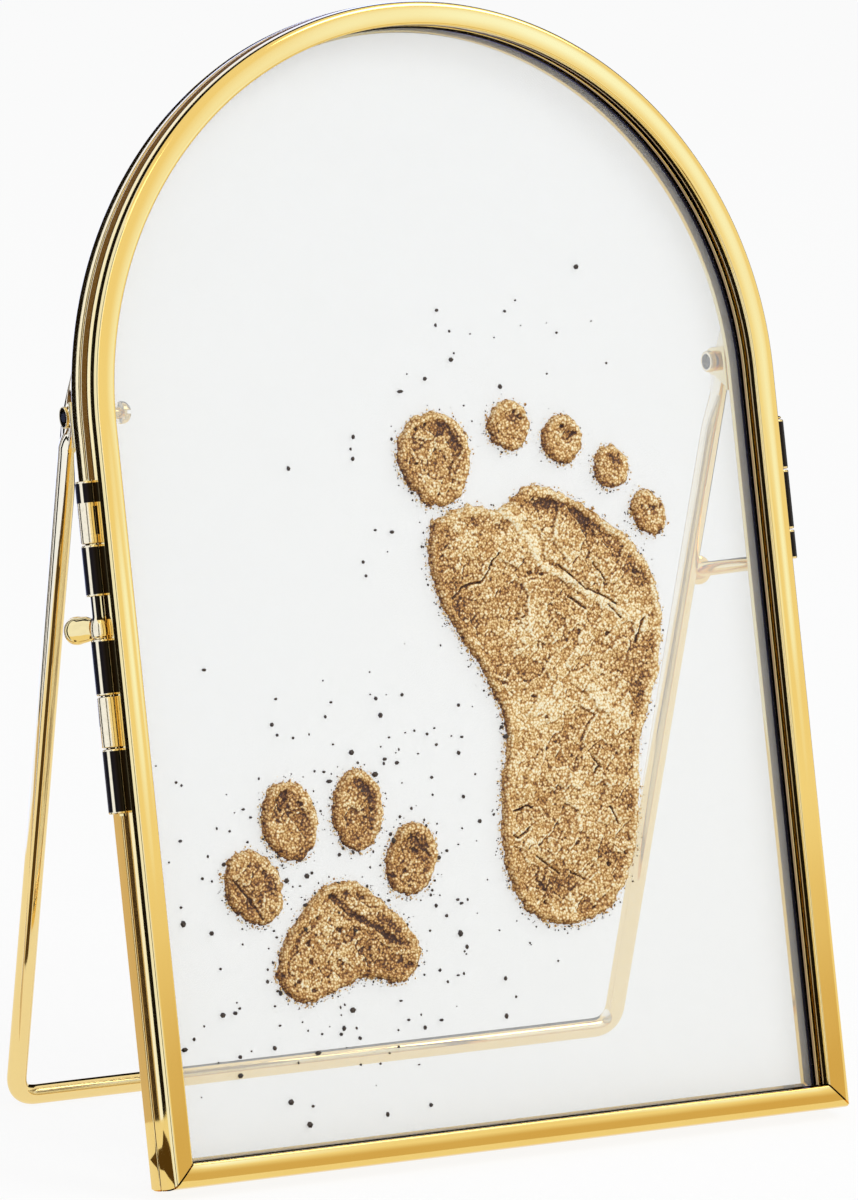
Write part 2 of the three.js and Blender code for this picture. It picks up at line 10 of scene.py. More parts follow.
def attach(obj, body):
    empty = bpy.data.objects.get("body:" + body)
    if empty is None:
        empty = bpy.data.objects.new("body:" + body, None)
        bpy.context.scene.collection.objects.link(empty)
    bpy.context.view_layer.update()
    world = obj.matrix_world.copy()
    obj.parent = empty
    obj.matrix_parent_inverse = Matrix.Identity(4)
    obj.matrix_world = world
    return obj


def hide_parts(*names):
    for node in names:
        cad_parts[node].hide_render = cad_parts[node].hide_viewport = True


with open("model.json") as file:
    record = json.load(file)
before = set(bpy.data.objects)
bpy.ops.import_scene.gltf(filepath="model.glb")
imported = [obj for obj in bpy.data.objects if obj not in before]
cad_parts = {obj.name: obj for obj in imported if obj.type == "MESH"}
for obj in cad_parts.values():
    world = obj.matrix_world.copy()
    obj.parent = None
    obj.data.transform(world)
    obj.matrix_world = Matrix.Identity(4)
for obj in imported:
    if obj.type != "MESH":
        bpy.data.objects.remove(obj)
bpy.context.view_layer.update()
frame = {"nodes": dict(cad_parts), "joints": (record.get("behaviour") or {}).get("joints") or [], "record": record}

# The keepsake frame stands on its bottom rail and leans back on a wire stand. Every piece is drawn
# upright first, x across, y up from the foot of the front face and z out of that face, and is leaned
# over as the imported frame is, about the foot that its lower mount gives and along its hinge's axis.
mm = 0.001
joints = {joint["name"]: joint for joint in frame["joints"]}
mounts = {mount["name"]: mount for mount in frame["record"]["mounts"]}
bottom_rest_depth = 6.5 * mm
frame_up = Vector(joints["door_hinge"]["axis"])
frame_out = Vector((0, -frame_up.z, frame_up.y))
frame_foot = Vector(mounts["bottom_rest"]["pos_m"]) + bottom_rest_depth * frame_out
turned_back = Matrix((Vector((1, 0, 0)), frame_up, frame_out)).transposed().to_4x4()
lean = Matrix.Translation(frame_foot) @ turned_back
upright = lean.inverted()

# Rear rails: a folded brass channel, bent from one length up the sides and round the arch, and a
# straight length along the bottom, mitred at both corners. The face and the outer wall swell a little
# from polishing, and a round groove on each side takes the barrels that are soldered there.
half_width = 65 * mm
side_height = 123 * mm
frame_depth = 8.3 * mm
sheet = 0.8 * mm
rear_lip = 4.15 * mm
mitre_gap = 0.21 * mm
face_swell = 0.14 * mm
pane_front = -5.6 * mm
hinge_depth = 4.55 * mm
hinge_outboard = 1.25 * mm
hinge_groove = 1.75 * mm
latch_depth = 4.3 * mm
latch_outboard = 1 * mm
latch_groove = 1.5 * mm
groove_spare = 0.2 * mm
hinge_span = (91.1 * mm, 114.5 * mm)
latch_span = (60.8 * mm, 114.7 * mm)


class Socket:
    """One output socket of a finish. Arithmetic with it adds Math nodes, and add() adds any other node."""

    def __init__(self, tree, output):
        self.tree = tree
        self.output = output

    def add(self, kind, settings, sockets, output=0):
        node = self.tree.nodes.new("ShaderNode" + kind)
        for name, value in settings.items():
            if name == "stops":
                ramp = node.color_ramp
                while len(ramp.elements) < len(value):
                    ramp.elements.new(1.0)
                for element, (position, colour) in zip(ramp.elements, value):
                    element.position = position
                    element.color = (*colour, 1.0)
            else:
                setattr(node, name, value)
        for name, value in sockets.items():
            if isinstance(value, Socket):
                self.tree.links.new(value.output, node.inputs[name])
            else:
                node.inputs[name].default_value = value
        return Socket(self.tree, node.outputs[output]) if node.outputs else None

    def reckon(self, operation, first, second):
        return self.add("Math", {"operation": operation}, {0: first, 1: second})

    def __add__(self, other):
        return self.reckon("ADD", self, other)

    def __radd__(self, other):
        return self.reckon("ADD", other, self)

    def __sub__(self, other):
        return self.reckon("SUBTRACT", self, other)

    def __rsub__(self, other):
        return self.reckon("SUBTRACT", other, self)

    def __mul__(self, other):
        return self.reckon("MULTIPLY", self, other)

    def __rmul__(self, other):
        return self.reckon("MULTIPLY", other, self)


def begin_finish(name):
    """An empty material, with the place on the piece as its first socket."""
    finish = bpy.data.materials.new(name)
    finish.use_nodes = True
    finish.node_tree.nodes.clear()
    place = finish.node_tree.nodes.new("ShaderNodeTexCoord")
    return finish, Socket(finish.node_tree, place.outputs["Object"])


def noise(place, size, detail=2.0):
    """Even noise whose swells are about that many metres across."""
    return place.add("TexNoise", {}, {"Vector": place, "Scale": 1 / size, "Detail": detail})


def blend(place, factor, first, second):
    """A colour between two others."""
    first, second = (end if isinstance(end, Socket) else (*end, 1.0) for end in (first, second))
    return place.add("Mix", {"data_type": "RGBA"}, {0: factor, 6: first, 7: second}, output=2)


def end_finish(finish, surface):
    """Gives a finish its surface."""
    surface.add("OutputMaterial", {}, {"Surface": surface})
    return finish


def coated(finish, place, sockets):
    """A finish of one shader, with what its sockets get."""
    return end_finish(finish, place.add("BsdfPrincipled", {}, sockets))


def polished_brass(name, first, second):
    """Polished brass whose colour drifts between two shades, painted black where a piece is marked for painted
    shade.
    """
    finish, place = begin_finish(name)
    zones = noise(place, 38 * mm, 1.0)
    wiping = noise(place, 1.6 * mm, 4.0)
    patina = place.add("Attribute", {"attribute_name": "patina"}, {}, output=2)
    colour = blend(place, 2.4 * zones - 0.7, first, second)
    colour = blend(place, patina, colour, (0.012, 0.009, 0.007))
    sockets = {"Height": noise(place, 26 * mm, 1.0), "Strength": 1.0, "Distance": 0.2 * mm}
    waves = place.add("Bump", {}, sockets)
    sockets = {"Base Color": colour, "Metallic": 1.0, "Roughness": 0.04 + 0.05 * wiping, "Normal": waves}
    return coated(finish, place, sockets)


def put(name, data):
    """A new thing in the scene."""
    thing = bpy.data.objects.new(name, data)
    bpy.context.scene.collection.objects.link(thing)
    return thing


def solid(points, faces):
    """A closed shape in upright metres, with its doubled points joined and its faces turned outwards."""
    mesh = bpy.data.meshes.new("solid")
    mesh.from_pydata([tuple(point) for point in points], [], [tuple(face) for face in faces])
    shell = bmesh.new()
    shell.from_mesh(mesh)
    bmesh.ops.remove_doubles(shell, verts=shell.verts, dist=0.0005 * mm)
    bmesh.ops.recalc_face_normals(shell, faces=shell.faces)
    shell.to_mesh(mesh)
    shell.free()
    return put("solid", mesh)


def skin(rings, looped=False):
    """A closed shape over rings of equally many points, capped at both ends or looped back to its start."""
    count = len(rings[0])
    total = len(rings) * count
    faces = [] if looped else [range(count), range(total - count, total)]
    for start in range(0, total if looped else total - count, count):
        ahead = (start + count) % total
        for this in range(count):
            following = (this + 1) % count
            faces.append((start + this, start + following, ahead + following, ahead + this))
    return solid([point for ring in rings for point in ring], faces)


def carve(shape, tool, operation="DIFFERENCE"):
    """Cuts the tool out of a shape, or joins it on, and throws the tool away."""
    cut = shape.modifiers.new("carve", "BOOLEAN")
    cut.object = tool
    cut.operation = operation
    cut.solver = "EXACT"
    carved = bpy.data.meshes.new_from_object(shape.evaluated_get(bpy.context.evaluated_depsgraph_get()))
    shape.modifiers.clear()
    shape.data = carved
    bpy.data.objects.remove(tool)
    return shape


def fit(shape, name, finish, slot, body, *nodes, crease=38):
    """Leans a finished shape into place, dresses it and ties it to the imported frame."""
    shape.name = name
    shape.data.name = name
    shape.data.transform(lean)
    shape.data.materials.clear()
    shape.data.materials.append(finish)
    shape.data.shade_smooth()
    shape.data.set_sharp_from_angle(angle=math.radians(crease))
    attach(shape, body)
    if nodes:
        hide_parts(*nodes)


def rounded(corners, steps=4):
    """An outline whose corners (across, back, radius) are bent round; a radius of 0 stays a point."""
    points = []
    for index, (across, back, radius) in enumerate(corners):
        here = Vector((across, back))
        before = (Vector(corners[index - 1][:2]) - here).normalized()
        after = (Vector(corners[(index + 1) % len(corners)][:2]) - here).normalized()
        for step in range(steps + 1 if radius else 1):
            share = step / steps
            points.append(here + radius * ((1 - share) ** 2 * before + share ** 2 * after))
    return points


def channel(face, reveal, lip, depth, swell, swell_run):
    """Section of a folded channel, as (inward, back) points from the outer edge of its face.
    Its wall curves in by the swell over a run behind the face."""
    shares = (0.3, 0.4, 0.5, 0.6, 0.7)
    face_points = [(face * share, face_swell * (2 * share - 1) ** 2, 0) for share in shares]
    bend = 0.4 * mm
    cut_edge = 0.12 * mm
    wall_points = [(swell * max(0, 1 - back / swell_run) ** 2, back, 0)
                   for back in np.linspace(depth - 3 * cut_edge, bend + 0.15 * mm, 10).tolist()]
    return rounded([
        (swell, face_swell, bend), *face_points, (face, face_swell, bend),
        (face, reveal, cut_edge), (face - sheet, reveal, cut_edge), (face - sheet, sheet, cut_edge),
        (sheet, sheet, cut_edge), (sheet, depth - sheet, cut_edge), (lip, depth - sheet, cut_edge),
        (lip, depth, cut_edge), (0, depth, cut_edge), *wall_points])


def arch_length(section, to_front):
    """The channel carried up the left side, round the arch and down the right side."""
    rises = np.linspace(0, 1, 25)
    rings = []
    for side, steps in ((-1, rises), (1, rises[::-1])):
        if side == 1:
            for turn in np.linspace(math.pi, 0, 145)[1:-1]:
                rings.append([((half_width - inward) * math.cos(turn),
                               side_height + (half_width - inward) * math.sin(turn), to_front(back))
                              for inward, back in section])
        for rise in steps:
            rings.append([(side * (half_width - inward),
                           (inward + mitre_gap) * (1 - rise) + side_height * rise, to_front(back))
                          for inward, back in section])
    return skin(rings)


def bottom_length(section, to_front):
    """The straight channel along the bottom, between the two mitres."""
    rings = []
    for share in np.linspace(-1, 1, 41):
        rings.append([(share * (half_width - inward - mitre_gap), inward, to_front(back))
                      for inward, back in section])
    return skin(rings)


def turned(profile, place, steps=48, bored=False):
    """A shape turned on a lathe: (radius, along) points about its y axis, put in place by a matrix.
    The profile of a bored one closes on itself round the bore."""
    turns = [2 * math.pi * step / steps for step in range(steps)]
    rings = [[place @ Vector((radius * math.cos(turn), along, radius * math.sin(turn))) for turn in turns]
             for radius, along in profile]
    return skin(rings, looped=bored)


def cut_grooves(rail):
    """Rolls a round groove into both sides of a rail for the barrels."""
    for across, back, radius, (low, high) in (
            (-half_width - latch_outboard, latch_depth, latch_groove, latch_span),
            (half_width + hinge_outboard, hinge_depth, hinge_groove, hinge_span)):
        profile = [(radius, low - groove_spare), (radius, high + groove_spare)]
        carve(rail, turned(profile, Matrix.Translation((across, 0, -back)), steps=64))
    return rail


def mark_points(mesh, name, values):
    """Gives each point of a mesh a number for its finish."""
    shade = mesh.attributes.new(name, "FLOAT", "POINT")
    shade.data.foreach_set("value", np.asarray(values, np.float32))


def paint_lip_shade(rail):
    """Marks the tip of the rear rail's lip in front of the pane to be painted black: painted shade inside the
    channel.
    """
    tips = []
    for across, height, out in (vertex.co for vertex in rail.data.vertices):
        inward = min(height, half_width - math.hypot(across, max(0, height - side_height)))
        tips.append(inward > rear_lip - sheet and out > pane_front)
    mark_points(rail.data, "patina", tips)
    return rail


def rear_front(back):
    return back - frame_depth


brass = polished_brass("polished_brass", (0.89, 0.65, 0.21), (0.87, 0.60, 0.17))
rear_section = channel(face=4.6 * mm, reveal=1.4 * mm, lip=rear_lip, depth=3.6 * mm, swell=0.26 * mm,
                       swell_run=3.6 * mm)
# The tip of the rear rail's lip is painted black: painted shade inside the channel between the panes.
rear_arch = paint_lip_shade(cut_grooves(arch_length(rear_section, rear_front)))
fit(rear_arch, "rear_rail_arch", brass, "brass", "rear_frame", "rear_arch_rail")
rear_bottom = paint_lip_shade(bottom_length(rear_section, rear_front))
fit(rear_bottom, "rear_rail_bottom", brass, "brass", "rear_frame", "rear_bottom_rail")

# Rear pane: a flat sheet of lightly hazed glass, cut to the arch and held in the rear channel by its
# lip. The haze makes what stands behind it look pale, and the sand prints are bonded to its front.


def hazed_glass():
    finish, place = begin_finish("hazed_glass")
    bloom = noise(place, 30 * mm)
    clear = place.add("BsdfTransparent", {}, {"Color": (0.985, 0.985, 0.98, 1.0)})
    veil_colour = blend(place, bloom, (0.91, 0.91, 0.90), (0.93, 0.93, 0.925))
    veil = place.add("BsdfDiffuse", {}, {"Color": veil_colour})
    shine = place.add("BsdfGlossy", {}, {"Roughness": 0.05 + 0.05 * bloom})
    body = place.add("MixShader", {}, {0: 0.25, 1: clear, 2: veil})
    glint = 0.3 * place.add("Fresnel", {}, {"IOR": 1.2})
    return end_finish(finish, place.add("MixShader", {}, {0: glint, 1: body, 2: shine}))


rear_pane = frame["nodes"]["rear_glass"]
rear_pane.material_slots[0].material = hazed_glass()

# Sand prints: a baby's footprint and a paw print, each pad cast as a thin cake of coarse sand set in
# clear binder and bonded to the rear pane. A raised crumbly rim stands round a pressed middle, which
# has flaked and cracked, and single dark grains have scattered over the glass.
print_bevel = 0.45 * mm
print_pitch = 0.18 * mm
print_seat = 0.06 * mm
plate_size = 4.8 * mm
flake_size = 2.4 * mm
chip_size = 1.2 * mm
grain_size = 0.42 * mm
grain_seat = 0.03 * mm


def scatter(column, row, seed):
    """An even random number from 0 to 1 for each square of a grid."""
    return np.modf(np.abs(np.sin(column * 127.1 + row * 311.7 + seed * 74.7) * 43758.5453))[0]


def drift(x, y, size, seed):
    """Smooth noise from 0 to 1 whose swells are of that size."""
    column = np.floor(x / size)
    row = np.floor(y / size)
    across = x / size - column
    up = y / size - row
    across = across * across * (3 - 2 * across)
    up = up * up * (3 - 2 * up)
    low = scatter(column, row, seed) * (1 - across) + scatter(column + 1, row, seed) * across
    high = scatter(column, row + 1, seed) * (1 - across) + scatter(column + 1, row + 1, seed) * across
    return low * (1 - up) + high * up


def cells(x, y, size, seed):
    """The own number of the nearest of scattered grains."""
    column = np.floor(x / size)
    row = np.floor(y / size)
    nearest = np.full(x.shape, np.inf)
    number = np.zeros(x.shape)
    for step in range(9):
        grain_column = column + step % 3 - 1
        grain_row = row + step // 3 - 1
        gap = np.hypot(x - (grain_column + scatter(grain_column, grain_row, seed)) * size,
                       y - (grain_row + scatter(grain_column, grain_row, seed + 1)) * size)
        number = np.where(gap < nearest, scatter(grain_column, grain_row, seed + 2), number)
        nearest = np.minimum(nearest, gap)
    return number


def eased(value):
    """0 below 0, 1 above 1, and a soft step between."""
    value = np.clip(value, 0, 1)
    return value * value * (3 - 2 * value)


def from_line(x, y, line):
    """Distance of points from a line through a few places."""
    nearest = np.full(x.shape, np.inf)
    for (x0, y0), (x1, y1) in zip(line, line[1:]):
        run = (x1 - x0) ** 2 + (y1 - y0) ** 2
        share = np.clip(((x - x0) * (x1 - x0) + (y - y0) * (y1 - y0)) / run, 0, 1)
        nearest = np.minimum(nearest, np.hypot(x - x0 - share * (x1 - x0), y - y0 - share * (y1 - y0)))
    return nearest


def print_outline(node):
    """The outline of a packed print, walked round the flat back that rests on the pane."""
    mesh = frame["nodes"][node].data
    places = [upright @ vertex.co for vertex in mesh.vertices]
    back = min(place.z for place in places)
    edges = set()
    for face in mesh.polygons:
        corners = [places[index] for index in face.vertices]
        if max(corner.z for corner in corners) < back + 0.01 * mm:
            loop = [(round(corner.x, 6), round(corner.y, 6)) for corner in corners]
            for start, end in zip(loop, loop[1:] + loop[:1]):
                if (end, start) in edges:
                    edges.remove((end, start))
                else:
                    edges.add((start, end))
    following = dict(edges)
    outline = [min(following)]
    while len(outline) < len(following):
        outline.append(following[outline[-1]])
    return outline


def depth_inside(x, y, outline):
    """How far points lie inside an outline, below 0 outside it."""
    crossings = np.zeros(x.shape, bool)
    closed = outline + outline[:1]
    for (x0, y0), (x1, y1) in zip(closed, closed[1:]):
        if y0 != y1:
            crossings ^= ((y0 > y) != (y1 > y)) & (x < x0 + (y - y0) * (x1 - x0) / (y1 - y0))
    return np.where(crossings, 1, -1) * from_line(x, y, closed)


def cast_sand():
    finish, place = begin_finish("cast_sand")
    tone = place.add("Attribute", {"attribute_name": "tone"}, {}, output=2)
    packing = {"Vector": place, "Scale": 1 / grain_size, "Randomness": 0.9}
    from_middle = place.add("TexVoronoi", {}, packing, output="Distance")
    grain_colour = place.add("TexVoronoi", {}, packing, output="Color")
    stops = [(0.0, (0.055, 0.018, 0.003)), (0.22, (0.20, 0.07, 0.009)), (0.45, (0.48, 0.22, 0.036)),
             (0.66, (0.73, 0.475, 0.18)), (0.84, (0.91, 0.71, 0.375)), (1.0, (0.99, 0.90, 0.66))]
    # Painted light and shade on the grains: each is lighter in its middle and darker towards its edge, so the gaps
    # between them are darker. Their colours also differ at random.
    shade = tone + 0.9 * (0.44 - from_middle) + 0.45 * (grain_colour - 0.5)
    colour = place.add("ValToRGB", {"stops": stops}, {0: shade})
    domes = place.add("Bump", {}, {"Height": 1 - from_middle, "Strength": 0.7, "Distance": 0.2 * mm})
    sockets = {"Base Color": colour, "Roughness": 0.8 - 0.2 * grain_colour, "Normal": domes}
    return coated(finish, place, sockets)


def cast_print(node, seed, level, press, marks=(), pits=()):
    """A cake of sand on the outline of a packed print, as a closed grid of fine squares.
    A mark is its width, how deep it is cut, how dark it is and its line; a pit is its place and radius."""
    outline = print_outline(node)
    low = np.min(outline, axis=0) - 1 * mm
    high = np.max(outline, axis=0) + 1 * mm
    x, y = np.meshgrid(np.arange(low[0], high[0], print_pitch), np.arange(low[1], high[1], print_pitch))
    slip = 1.1 * mm * (drift(x, y, 1.6 * mm, seed) - 0.5)
    grain_number = cells(x, y, grain_size, seed)
    plate_number = cells(x + slip, y - slip, plate_size, seed + 5)
    flake_number = cells(x - slip, y - slip, flake_size, seed + 13)
    chip_number = cells(x - slip, y + 0.5 * slip, chip_size, seed + 7)
    inside = depth_inside(x, y, outline) + print_bevel
    up_slope, right_slope = np.gradient(inside, print_pitch)
    sunward = np.clip(-0.7 * (right_slope + up_slope), -1, 1)
    inside += 0.55 * mm * (drift(x, y, 1.2 * mm, seed + 8) - 0.55) + 0.3 * mm * (grain_number - 0.5)
    rim = eased(inside / (0.8 * mm))
    pressed = eased((inside - 0.9 * mm) / (1.3 * mm))
    patches = eased(2.6 * drift(x, y, 3.2 * mm, seed + 19) - 0.8)
    hollow = eased((inside - 1.2 * mm) / (1 * mm)) * eased((4.6 * mm - inside) / (2.4 * mm)) * patches
    height = 0.2 + 1.0 * rim - press * pressed + 0.3 * pressed * (drift(x, y, 6 * mm, seed + 9) - 0.5)
    height += pressed * (0.5 * plate_number + 0.42 * flake_number + 0.2 * chip_number - 0.56)
    height += 0.12 * rim * (grain_number - 0.5) - 0.2 * hollow * np.maximum(sunward, 0)
    # Partly the rim's own paler sand and partly painted light: the rim is paler, more so on its side toward the
    # light at the upper right and less at the lower left. Painted shade darkens a band inside the upper right rim
    # and the outer edge at the lower left.
    tone = level + (1 - pressed) * rim * (0.08 + 0.12 * sunward)
    tone -= 0.34 * hollow * np.maximum(sunward, 0) + 0.4 * (1 - rim) * np.maximum(-sunward, 0)
    tone += pressed * (0.12 * plate_number + 0.14 * flake_number + 0.12 * chip_number - 0.19)
    tone += 0.26 * pressed * (drift(x, y, 7 * mm, seed + 17) - 0.5)
    wander = 0.7 * mm * (drift(x, y, 1.1 * mm, seed + 15) - 0.5)
    spots = [(radius, 0.45, 0.5, [(across - 0.1, up), (across + 0.1, up)]) for across, up, radius in pits]
    # Each mark is cut into the height and darkened by its shade; in cracks and pits that darkening is painted
    # shade, and a negative shade makes a ridge paler.
    for width, cut, shade, line in [*marks, *spots]:
        away = from_line(x + wander, y - wander, np.array(line) * mm)
        mark = eased(1.3 - away / (width * mm))
        height -= cut * mark * rim
        tone -= shade * mark
    # Painted shade and highlight: sand lying lower than the sand around it is darkened, and sand standing higher
    # is lightened.
    around = sum(np.roll(height, step, axis) for axis in (0, 1) for step in (-2, 2)) / 4
    tone += 2 * pressed * np.clip(height - around, -0.2, 0.14)
    height = np.clip(height, 0.1, 1.5)
    tone = np.clip(tone, 0.02, 1)

    kept = inside > 0
    quads = kept[:-1, :-1] & kept[1:, :-1] & kept[:-1, 1:] & kept[1:, 1:]
    number = np.arange(x.size).reshape(x.shape)
    corners = [number[:-1, :-1], number[:-1, 1:], number[1:, 1:], number[1:, :-1]]
    top = np.stack([corner[quads] for corner in corners], axis=1)
    below = x.size
    walls = []
    ringed = np.pad(quads, 1)
    for step, (down, over) in enumerate(((-1, 0), (0, 1), (1, 0), (0, -1))):
        neighbour = ringed[1 + down:ringed.shape[0] - 1 + down, 1 + over:ringed.shape[1] - 1 + over]
        edge = quads & ~neighbour
        first = corners[step][edge]
        second = corners[(step + 1) % 4][edge]
        walls.append(np.stack([second, first, first + below, second + below], axis=1))
    faces = np.concatenate([top, top[:, ::-1] + below, *walls])
    used, faces = np.unique(faces, return_inverse=True)
    faces = faces.reshape(-1, 4)
    flat = np.full(x.size, pane_front + print_seat)
    points = np.stack([np.tile(x.ravel(), 2), np.tile(y.ravel(), 2),
                       np.concatenate([pane_front + height.ravel() * mm, flat])], axis=1)[used]
    mesh = bpy.data.meshes.new(node)
    mesh.from_pydata(points.tolist(), [], faces.tolist())
    mark_points(mesh, "tone", np.tile(tone.ravel(), 2)[used])
    fit(put(node, mesh), "cast_" + node, sand, "sand", "rear_frame", node, crease=80)


sand = cast_sand()
# The sole's marks: a pale raised ridge, broad shallow bands painted darker, and cracks. The two bands along the
# upper rim of the ball of the foot are painted shade under that rim; the others darken the left edge, the heel and
# the right side.
sole_marks = [
    (0.8, -0.3, -0.3, [(8.8, 107), (13, 103), (17.6, 98), (18.2, 94.6), (26.6, 89.3), (32.4, 85.6)]),
    (2.4, 0.1, 0.2, [(0, 101.3), (0.6, 94), (4, 86)]),
    (1.8, 0.1, 0.24, [(15.2, 105.7), (24.9, 102.7), (29.5, 101.1)]),
    (2.2, 0.1, 0.26, [(33, 96.1), (37.3, 91)]),
    (2.2, 0.1, 0.22, [(13.5, 41.5), (18, 43)]),
    (1.6, 0.1, 0.22, [(24, 47.3), (27, 45)]),
    (1.6, 0.1, 0.2, [(34.3, 73), (33.6, 69)]),
    (0.24, 0.6, 0.6, [(10.7, 96.9), (7.2, 92.5), (3.8, 91.8), (0.8, 90.5)]),
    (0.28, 0.6, 0.6, [(23.1, 89), (26.1, 86.5)]),
    (0.2, 0.5, 0.5, [(21.8, 94.1), (26.5, 89.9), (32.1, 87)]),
    (0.2, 0.5, 0.5, [(28.5, 93.9), (30.7, 90.6)]),
    (0.2, 0.5, 0.5, [(30.6, 86.8), (32.9, 84.4)]),
    (0.26, 0.6, 0.6, [(37.3, 84), (35, 80.4)]),
    (0.24, 0.6, 0.6, [(24.5, 62.6), (25.7, 60.5), (24.5, 59.7)]),
    (0.2, 0.5, 0.5, [(27.1, 53.5), (28.3, 50.8)]),
    (0.2, 0.5, 0.5, [(8.4, 54.6), (11.8, 55.2)]),
    (0.2, 0.5, 0.5, [(8.2, 50.5), (11.3, 51.6)]),
    (0.22, 0.5, 0.5, [(17.8, 43.9), (20.6, 42.4)]),
    (0.22, 0.5, 0.5, [(11.9, 47), (15.9, 43.8)]),
    (10, 0, 0.07, [(14, 48), (21, 42)]),
]
sole_pits = [(14.6, 72.9, 0.4), (16.6, 69.3, 0.35), (19.8, 48.5, 0.45), (22.2, 37.5, 0.35),
             (12.8, 39.2, 0.35), (25.6, 44.3, 0.4), (16.3, 93.2, 0.4), (18.6, 92.7, 0.45),
             (29.8, 82.3, 0.5), (36.5, 91.7, 0.5)]
cast_print("foot_sole", 3, 0.68, 0.3, sole_marks, sole_pits)
toe_pits = {
    "foot_big_toe": [(-0.7, 118.8, 0.35), (-2.6, 118.2, 0.35), (6.7, 116.9, 0.35), (-3.1, 112.6, 0.4)],
    "foot_toe_2": [(16.2, 120, 0.35), (17.4, 118.9, 0.45)],
    "foot_toe_3": [(25, 117, 0.4), (27.3, 115.3, 0.55)],
    "foot_toe_4": [(35.3, 111.4, 0.3)],
    "foot_toe_5": [(42.7, 102.1, 0.4), (42.2, 98, 0.45)],
}
for order, (toe, pits) in enumerate(toe_pits.items()):
    cast_print(toe, 31 + 7 * order, 0.58, 0.15, (), pits)
pad_marks = [(0.7, 0.4, 0.42, [(-27.5, 43.9), (-24.8, 41.6), (-22, 39.6), (-19.1, 37.8), (-16, 35.3)])]
pad_pits = [(-30.6, 41, 0.4), (-32.8, 37, 0.5), (-32.6, 33.9, 0.6), (-26.8, 38.7, 0.5), (-38.4, 32.3, 0.4),
            (-35.5, 31, 0.45), (-32.7, 29.3, 0.5), (-22.3, 31.4, 0.5), (-13.9, 31.6, 0.45)]
cast_print("paw_pad", 101, 0.55, 0.2, pad_marks, pad_pits)
paw_toes = {
    "paw_toe_1": ([(0.3, 0.4, 0.4, [(-45.5, 48.2), (-42.9, 45.1), (-41.1, 41.8)])],
                  [(-39.7, 49, 0.4), (-47.4, 47.6, 0.3), (-45.1, 43.1, 0.35)]),
    "paw_toe_2": ([(1.5, 0.1, 0.2, [(-36.2, 58.6), (-33, 60)]),
                   (1.1, 0.2, 0.25, [(-33.4, 51.1), (-29.9, 52.5)])],
                  [(-32.2, 59.7, 0.45)]),
    "paw_toe_3": ([(1.2, 0.15, 0.28, [(-19.9, 61.4), (-18.3, 59.9)])],
                  [(-25.6, 54.7, 0.4), (-24.5, 52.6, 0.4)]),
    "paw_toe_4": ([(1.4, 0.15, 0.25, [(-10.9, 51.7), (-10.3, 50.7)])],
                  [(-15.9, 46.5, 0.45), (-13, 46.7, 0.4)]),
}
for order, (toe, (marks, pits)) in enumerate(paw_toes.items()):
    cast_print(toe, 131 + 7 * order, 0.54, 0.15, marks, pits)


def dark_grains():
    finish, place = begin_finish("dark_grains")
    mottle = noise(place, 0.9 * mm, 2.0)
    colour = blend(place, mottle, (0.012, 0.008, 0.005), (0.075, 0.045, 0.02))
    sockets = {"Base Color": colour, "Roughness": 0.5 + 0.3 * mottle}
    return coated(finish, place, sockets)


def edge_places(draw, node, share, spread):
    """Places just outside the outline of a print, so many to each millimetre, most at the lower left."""
    outline = np.array(print_outline(node))
    ends = np.roll(outline, -1, axis=0)
    lengths = np.hypot(*(ends - outline).T)
    turn = np.sign((outline[:, 0] * ends[:, 1] - outline[:, 1] * ends[:, 0]).sum())
    outwards = turn * (ends - outline) @ np.array([[0, -1], [1, 0]]) / lengths[:, None]
    weights = lengths * (0.5 + np.clip(-outwards.sum(axis=1), 0, 1.4))
    count = int(weights.sum() / mm * share)
    picks = draw.choice(len(outline), count, p=weights / weights.sum())
    along = draw.random((count, 1))
    on_edge = outline[picks] * (1 - along) + ends[picks] * along
    return on_edge + outwards[picks] * (print_bevel + np.abs(draw.normal(0, spread, (count, 1))) * mm)


def lay_grains(draw, name, places, radius, finish):
    """Small lumps of grain on the pane, of about that radius in millimetres."""
    ball = bmesh.new()
    bmesh.ops.create_icosphere(ball, subdivisions=1, radius=1.0)
    ball_points = np.array([vertex.co[:] for vertex in ball.verts])
    ball_faces = np.array([[vertex.index for vertex in face.verts] for face in ball.faces])
    ball.free()
    points = []
    faces = []
    for place in places:
        span = radius * np.clip(draw.lognormal(0, 0.35), 0.5, 2.2) * mm
        lump = ball_points * span * draw.uniform(0.65, 1.25, 3)
        lump *= draw.uniform(0.85, 1.15, (len(ball_points), 1))
        lump -= (0, 0, lump[:, 2].min())
        faces.extend(ball_faces + len(points))
        points.extend(lump + (*place, pane_front + grain_seat))
    grains = solid(points, faces)
    mark_points(grains.data, "tone", 0.55 + 0.4 * draw.random(len(grains.data.vertices)))
    fit(grains, name, finish, "sand", "rear_frame", crease=80)


